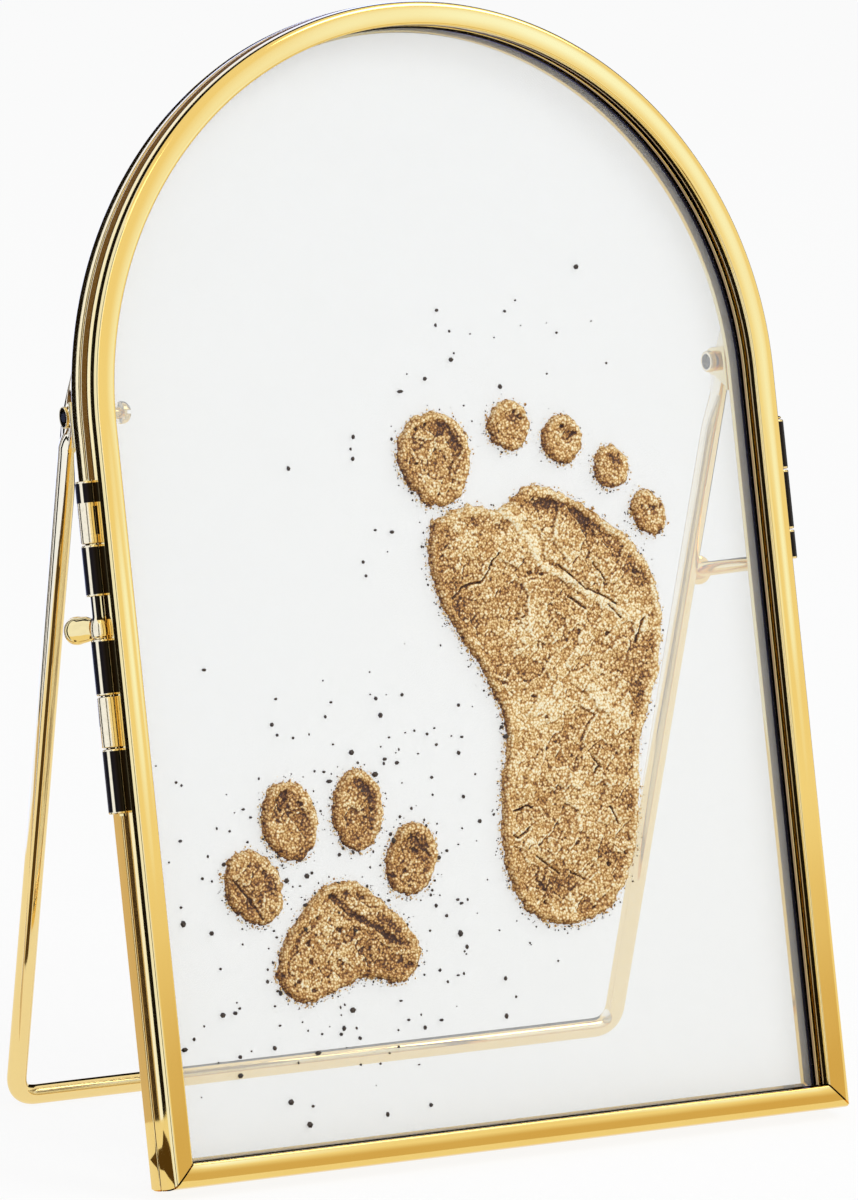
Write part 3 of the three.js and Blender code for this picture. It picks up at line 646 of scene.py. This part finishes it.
grain_draw = np.random.default_rng(17)
strewn = []
for count, centre, spread in ((200, (-27, 42), (15, 14)), (60, (-12, 62), (13, 10)), (36, (-2, 40), (11, 12)),
                              (22, (-6, 112), (14, 12)), (20, (14, 130), (13, 8)), (24, (-36, 24), (11, 6)),
                              (16, (2, 96), (3, 13))):
    strewn.extend(grain_draw.normal(centre, spread, (count, 2)) * mm)
strewn = [place for place in strewn if abs(place[0]) < half_width - 6 * mm and place[1] > 6 * mm]
lay_grains(grain_draw, "loose_grains", strewn, 0.25, dark_grains())
foot_nodes = ["foot_sole", *toe_pits]
paw_nodes = ["paw_pad", *paw_toes]
fallen = []
shed = []
for node in [*foot_nodes, *paw_nodes]:
    fallen.extend(edge_places(grain_draw, node, 1.7 if node in paw_nodes else 1.4, 0.7))
    shed.extend(edge_places(grain_draw, node, 2.6, 0.3))
lay_grains(grain_draw, "fallen_grains", fallen, 0.1, dark_grains())
lay_grains(grain_draw, "shed_sand", shed, 0.12, sand)

# Front rails and pane: the door, folded and mitred like the rear frame from a deeper channel, with a
# clear pane held behind its face. It closes on the rear frame with a hairline parting all round.
front_lip = 3.9 * mm


def clear_glass():
    finish, place = begin_finish("clear_glass")
    smears = noise(place, 22 * mm, 3.0)
    clear = place.add("BsdfTransparent", {}, {"Color": (0.995, 0.997, 0.995, 1.0)})
    shine = place.add("BsdfGlossy", {}, {"Roughness": 0.02 + 0.04 * smears})
    glint = 0.25 * place.add("Fresnel", {}, {"IOR": 1.12})
    return end_finish(finish, place.add("MixShader", {}, {0: glint, 1: clear, 2: shine}))


def front_face(back):
    return -back


front_section = channel(face=4 * mm, reveal=2.2 * mm, lip=front_lip, depth=4.4 * mm, swell=0.45 * mm,
                        swell_run=2.6 * mm)
front_arch = cut_grooves(arch_length(front_section, front_face))
fit(front_arch, "front_rail_arch", brass, "brass", "front_door", "front_arch_rail")
front_bottom = bottom_length(front_section, front_face)
fit(front_bottom, "front_rail_bottom", brass, "brass", "front_door", "front_bottom_rail")
front_pane = frame["nodes"]["front_glass"]
front_pane.material_slots[0].material = clear_glass()

# Hinge: three drawn brass barrels soldered in the grooves at the right, the outer two on the rear
# frame and the middle one on the door, on a headed pin that drops in from the top. The barrels are
# painted black, a painted dark reflection, and left brass at their rims.
hinge_radius = 1.65
hinge_bore = 0.95
barrel_round = 0.22
rim_width = 0.34
change_half = 0.03


def brass_painted_dark():
    finish, place = begin_finish("brass_painted_dark")
    bare = place.add("Attribute", {"attribute_name": "bare"}, {}, output=2)
    speckle = noise(place, 0.7 * mm, 3.0)
    shown = bare + 0.5 * bare * (speckle - 0.5)
    # Black is painted dark reflection on the barrels and bolt and painted shade in the holes of the nuts and at
    # the screw ends; brass shows where a piece is marked for it.
    colour = blend(place, shown, (0.014, 0.010, 0.007), (0.90, 0.68, 0.29))
    sockets = {"Base Color": colour, "Metallic": 1.0, "Roughness": 0.32 - 0.2 * bare + 0.08 * speckle}
    return coated(finish, place, sockets)


def in_mm(profile):
    """A profile that is written in millimetres."""
    return [(radius * mm, along * mm) for radius, along in profile]


def barrel(low, high, radius, bore, changes=()):
    """Profile of a tube with rounded rims, ringed where its finish changes, from sizes in millimetres."""
    curl = 0.3 * barrel_round
    inner = [(bore, high - barrel_round), (bore, low + barrel_round)]
    low_rim = [(bore + curl, low + curl), (bore + barrel_round, low), (radius - barrel_round, low),
               (radius - curl, low + curl)]
    high_rim = [(radius - curl, high - curl), (radius - barrel_round, high), (bore + barrel_round, high),
                (bore + curl, high - curl)]
    heights = [low + barrel_round, high - barrel_round]
    for change in (low + rim_width, high - rim_width, *changes):
        heights.extend((change - change_half, change + change_half))
    return in_mm([*inner, *low_rim, *((radius, height) for height in sorted(heights)), *high_rim])


def mark_brass_showing(shape, place, shows_brass_at):
    """Marks where a turned shape shows its brass instead of being painted black, by place along its axis and the
    way it faces.
    """
    to_axis = place.inverted()
    bare = []
    for vertex in shape.data.vertices:
        spot = to_axis @ vertex.co
        bare.append(shows_brass_at(spot.y / mm, math.degrees(math.atan2(spot.z, spot.x)) % 360))
    mark_points(shape.data, "bare", bare)
    return shape


black = brass_painted_dark()
hinge_place = Matrix.Translation((half_width + hinge_outboard, 0, -hinge_depth))
for name, body, low, high in (("upper", "rear_frame", 106.3, 114.5), ("lower", "rear_frame", 91.3, 96.1),
                              ("front", "front_door", 96.3, 106.1)):
    node = "hinge_knuckle_front" if name == "front" else "hinge_knuckle_rear_" + name
    knuckle = turned(barrel(low, high, hinge_radius, hinge_bore), hinge_place, steps=96, bored=True)
    # Painted black as a painted dark reflection, with brass at the rims.
    mark_brass_showing(knuckle, hinge_place, lambda height, facing: not low + rim_width < height < high - rim_width)
    fit(knuckle, "knuckle_" + name, black, "brass", body, node)
pin_profile = [(0.0, 91.1), (0.6, 91.1), (0.85, 91.4), (0.85, 114.6), (1.15, 114.62), (1.35, 114.75),
               (1.35, 114.9), (1.2, 115.05), (0.8, 115.16), (0.4, 115.2), (0.0, 115.2)]
hinge_pin = turned(in_mm(pin_profile), hinge_place)
fit(hinge_pin, "headed_pin", brass, "brass", "rear_frame", "hinge_pin")

# Latch: barrels soldered in the grooves at the left guide a sliding bolt, three on the door and one
# above and below them on the rear frame. They are painted black too, as a painted dark reflection, with
# a painted highlight line of brass down them, brass showing on parts of two and painted shade in a
# notch on each of those two. A cast handle on the bolt's collar reaches behind.
latch_place = Matrix.Translation((-half_width - latch_outboard, 0, -latch_depth))
latch_radius = 1.4
latch_bore = 0.82
# The painted highlight line: a stripe of brass at this facing round each barrel and the bolt, which reads as a
# highlight.
painted_highlight_facing = 138.5
painted_highlight_half = 9.0
latch_barrels = (("keeper", "rear_frame", 104.6, 114.7), ("guide_upper", "front_door", 96.1, 104.4),
                 ("guide_middle", "front_door", 80.1, 89.2), ("guide_lower", "front_door", 71.7, 79.9),
                 ("rest", "rear_frame", 61.0, 71.5))
# Spans where two barrels show brass instead of painted black, and on each a black patch of painted shade for the
# shaded inside of a notch, by height and facing.
brass_spans = {"keeper": (104.6, 111.2), "guide_lower": (71.7, 79.9)}
notch_shade = {"keeper": (106.0, 110.6, 25, 66), "guide_lower": (75.2, 79.5, 182, 225)}
for name, body, low, high in latch_barrels:
    brass_low, brass_high = brass_spans.get(name, (low, low))
    notch_shade_low, notch_shade_high, notch_shade_start, notch_shade_end = notch_shade.get(name, (low, low, 0, 0))

    # Black except at the rims, the brass spans and the painted highlight line; the notch patch is black.
    def shows_brass_at(height, facing):
        if notch_shade_low < height < notch_shade_high and notch_shade_start < facing < notch_shade_end:
            return 0
        if brass_low < height < brass_high or not low + rim_width < height < high - rim_width:
            return 1
        return abs(facing - painted_highlight_facing) < painted_highlight_half

    changes = [edge for edge in (brass_high, notch_shade_low, notch_shade_high) if low + 0.6 < edge < high - 0.6]
    guide = turned(barrel(low, high, latch_radius, latch_bore, changes), latch_place, steps=96, bored=True)
    mark_brass_showing(guide, latch_place, shows_brass_at)
    fit(guide, "barrel_" + name, black, "brass", body, "latch_" + name)


def smoothed(points, steps=6):
    """A smooth run of values in millimetres through a few given ones, ends included."""
    padded = [points[0], *points, points[-1]]
    smooth = []
    for before, start, end, after in zip(padded, padded[1:], padded[2:], padded[3:]):
        for step in range(steps):
            share = step / steps
            smooth.append(tuple(
                max(0, 0.5 * mm * (2 * b + (c - a) * share + (2 * a - 5 * b + 4 * c - d) * share ** 2
                                   + (3 * b - a - 3 * c + d) * share ** 3))
                for a, b, c, d in zip(before, start, end, after)))
    return [*smooth, tuple(value * mm for value in points[-1])]


bolt_profile = smoothed([(0, 71.8), (0.5, 71.8), (0.74, 72.2), (0.74, 80), (0.74, 88.9), (1.1, 89.4),
                         (1.32, 89.9), (1.32, 91.1), (1.2, 91.8), (0.95, 92.4), (0.76, 92.8), (0.74, 93.4),
                         (0.74, 98), (0.74, 103.7), (0.5, 104.1), (0, 104.1)])
# The bolt is painted black as a painted dark reflection, with brass at its collar and along the painted highlight
# line.
bolt = mark_brass_showing(turned(bolt_profile, latch_place, steps=96), latch_place,
            lambda height, facing: 89.2 < height < 92.3 or abs(facing - painted_highlight_facing) < 12)
fit(bolt, "sliding_bolt", black, "brass", "bolt", "latch_bolt")
handle_height = 90.95 * mm
handle_splay = math.radians(14.75)
handle_place = (latch_place @ Matrix.Translation((0, handle_height, 0))
                @ Matrix.Rotation(handle_splay, 4, "Y") @ Matrix.Rotation(math.radians(-90), 4, "X"))
handle_profile = smoothed([(1.1, 1.7, 1.6, 1.0), (1.6, 1.78, 1.8, 1.2), (2.6, 2.1, 2.0, 1.4),
                           (3.8, 2.2, 2.15, 1.8), (4.8, 2.3, 2.3, 2.2), (5.8, 2.12, 2.12, 2.05),
                           (6.5, 1.55, 1.55, 1.5), (6.95, 0.8, 0.8, 0.75), (7.08, 0.2, 0.2, 0.2)])
handle_rings = []
for reach, rise, drop, side in handle_profile:
    ring = []
    for turn in np.linspace(0, 2 * math.pi, 48, endpoint=False):
        lift = (rise if math.sin(turn) > 0 else drop) * math.sin(turn)
        ring.append(handle_place @ Vector((side * math.cos(turn), reach, lift)))
    handle_rings.append(ring)
fit(skin(handle_rings), "pear_handle", brass, "brass", "bolt", "latch_handle")

# Stand brackets: small ears of brass sheet, drilled for the pivot screws and folded to a foot that is
# soldered to the back of the rear rail near the spring of the arch.
pivot_height = 125.4 * mm
pivot_depth = 12.4 * mm
bracket_sheet = 1 * mm
bracket_inner = 60.5 * mm
bracket_seat = 8.4 * mm
bracket_foot = 4 * mm
bracket_low = pivot_height - 5.1 * mm
bracket_high = pivot_height + 2.3 * mm
ear_radius = 2.3 * mm
ear_bore = 1.02 * mm
drill_reach = 3 * mm
softened = 0.16 * mm


def plate(outline, thickness, to_place):
    """A sheet cut to an outline, with its edges softened, put in place by a matrix."""
    shape = bmesh.new()
    face = shape.faces.new([shape.verts.new((x, y, 0)) for x, y in outline])
    grown = bmesh.ops.extrude_face_region(shape, geom=[face])
    moved = [part for part in grown["geom"] if isinstance(part, bmesh.types.BMVert)]
    bmesh.ops.translate(shape, verts=moved, vec=(0, 0, thickness))
    rims = [edge for edge in shape.edges if abs(edge.verts[0].co.z - edge.verts[1].co.z) < 1e-9]
    bmesh.ops.bevel(shape, geom=rims, offset=softened, segments=2, affect="EDGES", profile=0.5)
    shape.verts.index_update()
    points = [to_place @ vertex.co for vertex in shape.verts]
    faces = [[vertex.index for vertex in face.verts] for face in shape.faces]
    shape.free()
    return solid(points, faces)


def drill(shape, radius, place):
    """Drills a hole right through a sheet, along the y axis of its place."""
    carve(shape, turned([(radius, -drill_reach), (radius, drill_reach)], place))


ear_outline = [(bracket_seat, bracket_low)]
for turn in np.radians(np.linspace(-90, 90, 25)):
    ear_outline.append((pivot_depth + ear_radius * math.cos(turn),
                        pivot_height + ear_radius * math.sin(turn)))
ear_outline.append((bracket_seat, bracket_high))
foot_outline = [(bracket_inner, bracket_low), (bracket_inner + bracket_foot, bracket_low),
                (bracket_inner + bracket_foot, bracket_high), (bracket_inner, bracket_high)]
crosswise = Matrix.Rotation(math.radians(90), 4, "Z")
edgewise = Matrix(((0, 0, 1, 0), (0, 1, 0, 0), (-1, 0, 0, 0), (0, 0, 0, 1)))
for name, side in (("left", -1), ("right", 1)):
    ear_start = side * bracket_inner if side == 1 else side * bracket_inner - bracket_sheet
    ear = plate(ear_outline, bracket_sheet, Matrix.Translation((ear_start, 0, 0)) @ edgewise)
    foot_place = Matrix(((side, 0, 0, 0), (0, 1, 0, 0), (0, 0, -1, -bracket_seat), (0, 0, 0, 1)))
    bracket = carve(ear, plate(foot_outline, bracket_sheet, foot_place), "UNION")
    bore_place = Matrix.Translation((side * bracket_inner, pivot_height, -pivot_depth)) @ crosswise
    drill(bracket, ear_bore, bore_place)
    fit(bracket, "drilled_ear_" + name, brass, "brass", "rear_frame", "stand_bracket_" + name)

# Pivot screws and nuts: slotted round-headed brass screws that carry the stand's eyes in the ears, the
# left one longer, with its head inwards, and the right one with its head outwards. The nuts, a low oval
# one and a round one, are countersunk, and the end of the screw stays a little way inside. That end and
# the inside of each nut are painted black: painted shade in the hole.
screw_radius = 0.95
screw_end = 0.7
head_radius = 1.85
head_height = 2.0
head_wall = 0.7
slot_half = 0.3 * mm
slot_depth = 1.4 * mm
to_right = Matrix.Rotation(math.radians(-90), 4, "Z")
for name, seat, shank in (("left", -53.6, 10.3), ("right", 63.4, 3.5)):
    place = Matrix.Translation((seat * mm, pivot_height, -pivot_depth)) @ to_right
    dome = [(head_radius * math.cos(turn), head_wall + (head_height - head_wall) * math.sin(turn))
            for turn in np.radians(np.linspace(0, 90, 12))]
    profile = [(0, -shank), (screw_end, -shank), (screw_radius, screw_radius - screw_end - shank),
               (screw_radius, -0.02), (1.7, 0), (head_radius, 0.12), *dome[:-1], (0, head_height)]
    screw = turned(in_mm(profile), place)
    slot_outline = [(-slot_half, -3 * mm), (slot_half, -3 * mm), (slot_half, 3 * mm), (-slot_half, 3 * mm)]
    slot_bottom = Matrix.Translation((0, head_height * mm - slot_depth, 0))
    slot = plate(slot_outline, 2 * mm, place @ slot_bottom @ Matrix.Rotation(math.radians(-90), 4, "X"))
    # The last of the screw's end is painted black: painted shade in the hole of the nut.
    screw = mark_brass_showing(carve(screw, slot), place, lambda along, facing: along > 0.4 - shank)
    fit(screw, "slotted_screw_" + name, black, "brass", "rear_frame", "stand_screw_" + name)
round_nut = [(1.0, 0.6), (1.27, 0.06), (1.33, 0.0), (1.55, 0.0), (1.72, 0.1), (1.8, 0.3), (1.8, 0.8),
             (1.72, 1.0), (1.5, 1.1), (1.1, 1.1), (1.0, 1.0)]
oval_nut = [(1.4, 0.8), (1.58, 0.6), (1.62, 0.56), (1.72, 0.56), (1.8, 0.66), (1.8, 0.98), (1.7, 1.1),
            (1.45, 1.1), (1.4, 1.05)]
for name, face, profile, breadth in (("left", -64.5, oval_nut, 0.7), ("right", 59.3, round_nut, 1)):
    place = (Matrix.Translation((face * mm, pivot_height, -pivot_depth)) @ to_right
             @ Matrix.Diagonal((1, 1, breadth, 1)))
    nut = turned(in_mm(profile), place, bored=True)
    to_axis = place.inverted()
    spots = [to_axis @ vertex.co for vertex in nut.data.vertices]
    # The inside of each nut is painted black and its outer rim left brass: painted shade in its countersink and
    # bore.
    rim_start = (profile[2][0] - change_half) * mm
    mark_points(nut.data, "bare", [math.hypot(spot.x, spot.z) > rim_start for spot in spots])
    fit(nut, "pivot_nut_" + name, black, "brass", "rear_frame", "stand_nut_" + name)

# Stop post: a turned brass post on a small flange, soldered to the back of the rear rail at the right.
# The stand's leg comes to rest against it, under its broad head.
post_across = 64.71 * mm
post_height = 91.3 * mm
post_place = Matrix.Translation((post_across, post_height, 0)) @ Matrix.Rotation(math.radians(-90), 4, "X")
post_profile = [(0, 8.4), (1.85, 8.4), (2.0, 8.55), (2.0, 9.1), (1.8, 9.3), (1.35, 9.4), (1.2, 9.7),
                (1.2, 29.2), (1.35, 29.5), (2.2, 29.65), (2.42, 29.78), (2.5, 30.05), (2.5, 30.4),
                (2.4, 30.65), (2.1, 30.8), (1.2, 30.85), (0, 30.85)]
stop_post = turned(in_mm(post_profile), post_place)
fit(stop_post, "headed_post", brass, "brass", "rear_frame", "stand_stop_post")

# Wire stand: one length of drawn brass wire, paler than the rails, bent to a U. Its ends are hammered
# flat to eyes that turn on the pivot screws, and its cross-bar rests on the table behind the frame.
wire_radius = 1.63 * mm
stand_angle = math.radians(24.3)
eye_middle = 62.45 * mm
eye_half_thickness = 0.7 * mm
eye_radius = 2 * mm
eye_bore = 1.1 * mm
eye_shoulder = math.radians(35)
eye_tip_half = 0.32 * mm
eye_tip = 8.05 * mm
eye_neck = 4.6 * mm
nut_foot = 2.2 * mm
inner_run = 8 * mm
outer_run = 3 * mm
foot_half_width = 58.15 * mm
bend_radius = 4 * mm
stand_pivot = Vector(joints["stand_fold"]["pos_m"])
leg_length = (stand_pivot.z - wire_radius) / math.cos(stand_angle - math.atan2(frame_up.y, frame_up.z))


def wire_route():
    """Middle of the wire, below the pivot, from the left eye round both bends to the right eye."""
    top = Vector((-eye_middle, -nut_foot))
    corner = Vector((-foot_half_width, -leg_length))
    along_leg = (corner - top).normalized()
    along_bar = Vector((1, 0))
    half_turn = along_leg.angle(along_bar) / 2
    setback = bend_radius * math.tan(half_turn)
    start = corner - along_leg * setback
    end = corner + along_bar * setback
    left = [top + (start - top) * share ** 1.7 for share in np.linspace(0, 1, 36)[:-1].tolist()]
    for share in np.linspace(0, 1, 17).tolist():
        left.append((1 - share) ** 2 * start + 2 * share * (1 - share) * corner + share ** 2 * end)
    bar = [end + (Vector((-end.x, end.y)) - end) * share for share in np.linspace(0, 1, 20)[1:-1].tolist()]
    return left + bar + [Vector((-point.x, point.y)) for point in reversed(left)]


stand_turn = Matrix.Translation((0, pivot_height, -pivot_depth)) @ Matrix.Rotation(stand_angle, 4, "X")
thin = 0.96 * eye_half_thickness
route = wire_route()
rings = []
for index, point in enumerate(route):
    ahead = route[min(index + 1, len(route) - 1)]
    behind = route[max(index - 1, 0)]
    along = (ahead - behind).normalized()
    across = Vector((along.y, -along.x))
    inner_half = thin + (wire_radius - thin) * float(eased((-point.y - eye_neck) / inner_run))
    outer_half = thin + (wire_radius - thin) * float(eased((-point.y - nut_foot) / outer_run))
    ring = []
    for turn in np.linspace(0, 2 * math.pi, 32, endpoint=False).tolist():
        offset = across * math.cos(turn) * (outer_half if math.cos(turn) > 0 else inner_half)
        spot = Vector((point.x + offset.x, point.y + offset.y, wire_radius * math.sin(turn)))
        ring.append(stand_turn @ spot)
    rings.append(ring)
stand = skin(rings)
for side in (-1, 1):
    right_edge = [(0.95 * wire_radius, -eye_neck - 1 * mm)]
    for turn in np.linspace(-0.1, eye_shoulder, 9):
        right_edge.append((eye_radius * math.cos(turn), eye_radius * math.sin(turn)))
    right_edge.append((eye_tip_half, eye_tip))
    eye_outline = right_edge + [(-across, up) for across, up in reversed(right_edge)]
    eye_start = Matrix.Translation((side * eye_middle - eye_half_thickness, 0, 0))
    carve(stand, plate(eye_outline, 2 * eye_half_thickness, stand_turn @ eye_start @ edgewise), "UNION")
    bore_place = stand_turn @ Matrix.Translation((side * eye_middle, 0, 0)) @ crosswise
    drill(stand, eye_bore, bore_place)
wire_brass = polished_brass("drawn_brass", (0.91, 0.71, 0.33), (0.89, 0.67, 0.28))
fit(stand, "wire_stand", wire_brass, "brass", "stand", "stand_loop")

# Table, light and view: a plain white table top, a soft box over the viewer's right shoulder and one
# in front. Cards round the frame, between its panes and on the table, seen only in the shine of the
# brass and glass, draw its streaks.


def place_lamp(name, azimuth, elevation, distance, width, height, radiance):
    """A soft box that faces the middle of the frame."""
    azimuth = math.radians(azimuth)
    elevation = math.radians(elevation)
    target = Vector((0, 0, 90 * mm))
    away = Vector((math.sin(azimuth) * math.cos(elevation), -math.cos(azimuth) * math.cos(elevation),
                   math.sin(elevation)))
    lamp = bpy.data.lights.new(name, "AREA")
    lamp.shape = "RECTANGLE"
    lamp.size = width
    lamp.size_y = height
    lamp.energy = radiance * math.pi * width * height
    holder = put(name, lamp)
    holder.location = target + away * distance
    holder.rotation_euler = away.to_track_quat("Z", "Y").to_euler()


place_lamp("shoulder_box", azimuth=48, elevation=48, distance=1.1, width=0.5, height=0.5, radiance=5.0)
place_lamp("front_box", azimuth=-14, elevation=30, distance=1.3, width=0.6, height=0.8, radiance=2.0)


def seen_share(place):
    """1 for what is seen straight, in a shine or through the glass, and 0 for what only gives light."""
    straight, shine, through = (place.add("LightPath", {}, {}, output="Is %s Ray" % ray)
                                for ray in ("Camera", "Glossy", "Transmission"))
    return straight + shine + through


def white_table():
    finish, place = begin_finish("white_table")
    cloth = noise(place, 40 * mm, 2.0)
    top_colour = blend(place, cloth, (0.93, 0.93, 0.93), (0.95, 0.95, 0.95))
    top = place.add("BsdfDiffuse", {}, {"Color": top_colour})
    white = place.add("Emission", {}, {"Color": (1.0, 1.0, 1.0, 1.0), "Strength": 1.0})
    return end_finish(finish, place.add("MixShader", {}, {0: 0.88 * seen_share(place), 1: top, 2: white}))


table_reach = 8.0
table_mesh = bpy.data.meshes.new("table")
table_mesh.from_pydata([(-table_reach, -table_reach, 0), (table_reach, -table_reach, 0),
                        (table_reach, table_reach, 0), (-table_reach, table_reach, 0)], [], [(0, 1, 2, 3)])
table_mesh.materials.append(white_table())
table = put("table", table_mesh)


def hang_card(name, one_edge, other_edge, finish):
    """A thin card between two lines of points, seen only in a shine."""
    count = len(one_edge)
    mesh = bpy.data.meshes.new(name)
    mesh.from_pydata([*one_edge, *other_edge], [],
                     [(step, step + 1, count + step + 1, count + step) for step in range(count - 1)])
    mesh.materials.append(finish)
    card = put(name, mesh)
    card.visible_camera = False
    card.visible_diffuse = False
    card.visible_transmission = False
    card.visible_shadow = False


def hang_plain_card(name, edges, colour, strength=1):
    """A card of one colour, a little uneven as felt is."""
    finish, place = begin_finish(name)
    felt = noise(place, 60 * mm, 2.0)
    darker = tuple(0.85 * part for part in colour)
    glow = place.add("Emission", {}, {"Color": blend(place, felt, colour, darker), "Strength": strength})
    hang_card(name, *edges, end_finish(finish, glow))


def level_way(turn):
    """The level direction at some turn from the front, to the right."""
    return Vector((math.sin(turn), -math.cos(turn), 0))


def beside_rail(side, reach, away, curl, back, low, high):
    """A line that follows one side and its half of the arch, at some distance to the left of the wall.
    It starts at one height, and one that starts under the arch ends at the other."""
    line = [(side * reach - away, height, -back) for height in np.linspace(low, min(high, side_height), 9)]
    for turn in np.radians(np.linspace(4, 84, 33) if high > side_height else []):
        line.append((side * reach * math.cos(turn) - away * math.cos(2 * turn),
                     side_height + reach * math.sin(turn) + curl * away * math.sin(2 * turn), -back))
    return [lean @ Vector(point) for point in line]


side_back = 45 * mm
between_panes = 5.5 * mm
card_gap = 0.05 * mm
table_card_run = (45 * mm, 280 * mm)
table_card_turns = (-50, -14)
latch_middle = 75 * mm
dark = (0.01, 0.008, 0.005)
brown = (0.10, 0.06, 0.02)
violet = (0.40, 0.38, 0.66)
cool_white = (0.42, 0.52, 1.0)
upper_bands = (("rear", 8, 17, dark, 1), ("rear_bright", 17, 21, cool_white, 2.8),
               ("brown", 21, 26.5, (0.17, 0.11, 0.06), 1),
               ("dark_brown", 26.5, 30.5, (0.045, 0.025, 0.012), 1),
               ("bright", 30.5, 47, cool_white, 2.8), ("front", 47, 112, dark, 1))
lower_bands = (("rear", 6, 22.5, (0.78, 0.67, 0.57), 1), ("parting", 22.5, 25.8, (0.05, 0.03, 0.015), 1),
               ("tan", 25.8, 29.8, (0.74, 0.66, 0.56), 1), ("bright", 29.8, 47, cool_white, 2.8),
               ("front", 47, 112, dark, 1))
for part, bands, low, high in (("upper", upper_bands, latch_middle, 2 * side_height),
                               ("lower", lower_bands, 0, latch_middle)):
    for name, near, far, colour, strength in bands:
        edges = [beside_rail(-1, half_width, away * mm, 1, side_back, low, high) for away in (near, far)]
        hang_plain_card("card_%s_%s" % (part, name), edges, colour, strength)
inner_wall = half_width - front_lip - card_gap
for name, near, far, colour in (("rear", 0.3, 1.8, violet), ("front", 1.9, 3.9, dark)):
    edges = [beside_rail(1, inner_wall, away * mm, -1, between_panes, 0, 2 * side_height)
             for away in (near, far)]
    hang_plain_card("card_between_panes_" + name, edges, colour)
stand_foot = lean @ (stand_turn @ Vector((-foot_half_width, -leg_length, 0)))
edges = [[stand_foot + level_way(math.radians(turn)) * run for run in table_card_run]
         for turn in table_card_turns]
hang_plain_card("card_on_table", edges, brown)
for name, first, last, distance, height, colour, strength in (
        ("back_right", 104, 160, 0.36, 0.42, dark, 1), ("front_left", -38, -26, 0.7, 0.8, dark, 1),
        ("front", -26, -4, 0.7, 0.8, cool_white, 2.4), ("left", -190, -48, 0.22, 0.36, cool_white, 2.6)):
    foot_line = [level_way(turn) * distance for turn in np.radians(np.linspace(first, last, 25)).tolist()]
    head_line = [foot + Vector((0, 0, height)) for foot in foot_line]
    hang_plain_card("card_" + name, (foot_line, head_line), colour, strength)


def glowing_panel():
    finish, place = begin_finish("glowing_panel")
    height = place.add("VectorMath", {"operation": "DOT_PRODUCT"}, {0: place, 1: frame_up}, output="Value")
    height = height - frame_up.dot(lean @ Vector((0, 0, panel_out)))
    colour = blend(place, (1 / (48 * mm)) * height, (0.74, 0.60, 0.37), (1.0, 1.0, 0.98))
    for spot, reach in (((116, 88), 46), ((226, 196), 118), ((246, 98), 46)):
        middle = lean @ Vector((spot[0] * mm, spot[1] * mm, panel_out))
        away = place.add("VectorMath", {"operation": "DISTANCE"}, {0: place, 1: middle}, output="Value")
        colour = blend(place, 1.2 - (1.2 / (reach * mm)) * away, colour, (1.1, 1.42, 2.45))
    return end_finish(finish, place.add("Emission", {}, {"Color": colour, "Strength": 1.0}))


panel_out = 300 * mm
panel_edges = [[lean @ Vector((across * mm, height * mm, panel_out)) for height in (-70, 340)]
               for across in (-10, 440)]
hang_card("glowing_panel", *panel_edges, glowing_panel())

world = bpy.data.worlds.new("studio")
world.use_nodes = True
world.node_tree.nodes.clear()
sky = Socket(world.node_tree, None)
soft_light = sky.add("Background", {}, {"Color": (0.98, 0.99, 1.0, 1.0), "Strength": 0.6})
white_room = sky.add("Background", {}, {"Color": (1.0, 1.0, 1.0, 1.0), "Strength": 1.0})
room = sky.add("MixShader", {}, {0: seen_share(sky), 1: soft_light, 2: white_room})
sky.add("OutputWorld", {}, {"Surface": room})
bpy.context.scene.world = world

camera_data = bpy.data.cameras.new("view")
camera_data.lens = 376.4
camera_data.sensor_width = 36.0
camera = put("view", camera_data)
camera_place = lean @ (Vector((-1060, 71.5, 1748)) * mm)
camera_target = lean @ (Vector((-6.4, 90.3, 0)) * mm)
camera_roll = math.radians(2.08)
sight = (camera_target - camera_place).to_track_quat("-Z", "Y").to_matrix()
camera.location = camera_place
camera.rotation_euler = (sight @ Matrix.Rotation(camera_roll, 3, "Z")).to_euler()
bpy.context.scene.camera = camera
bpy.context.scene.view_settings.view_transform = "Standard"
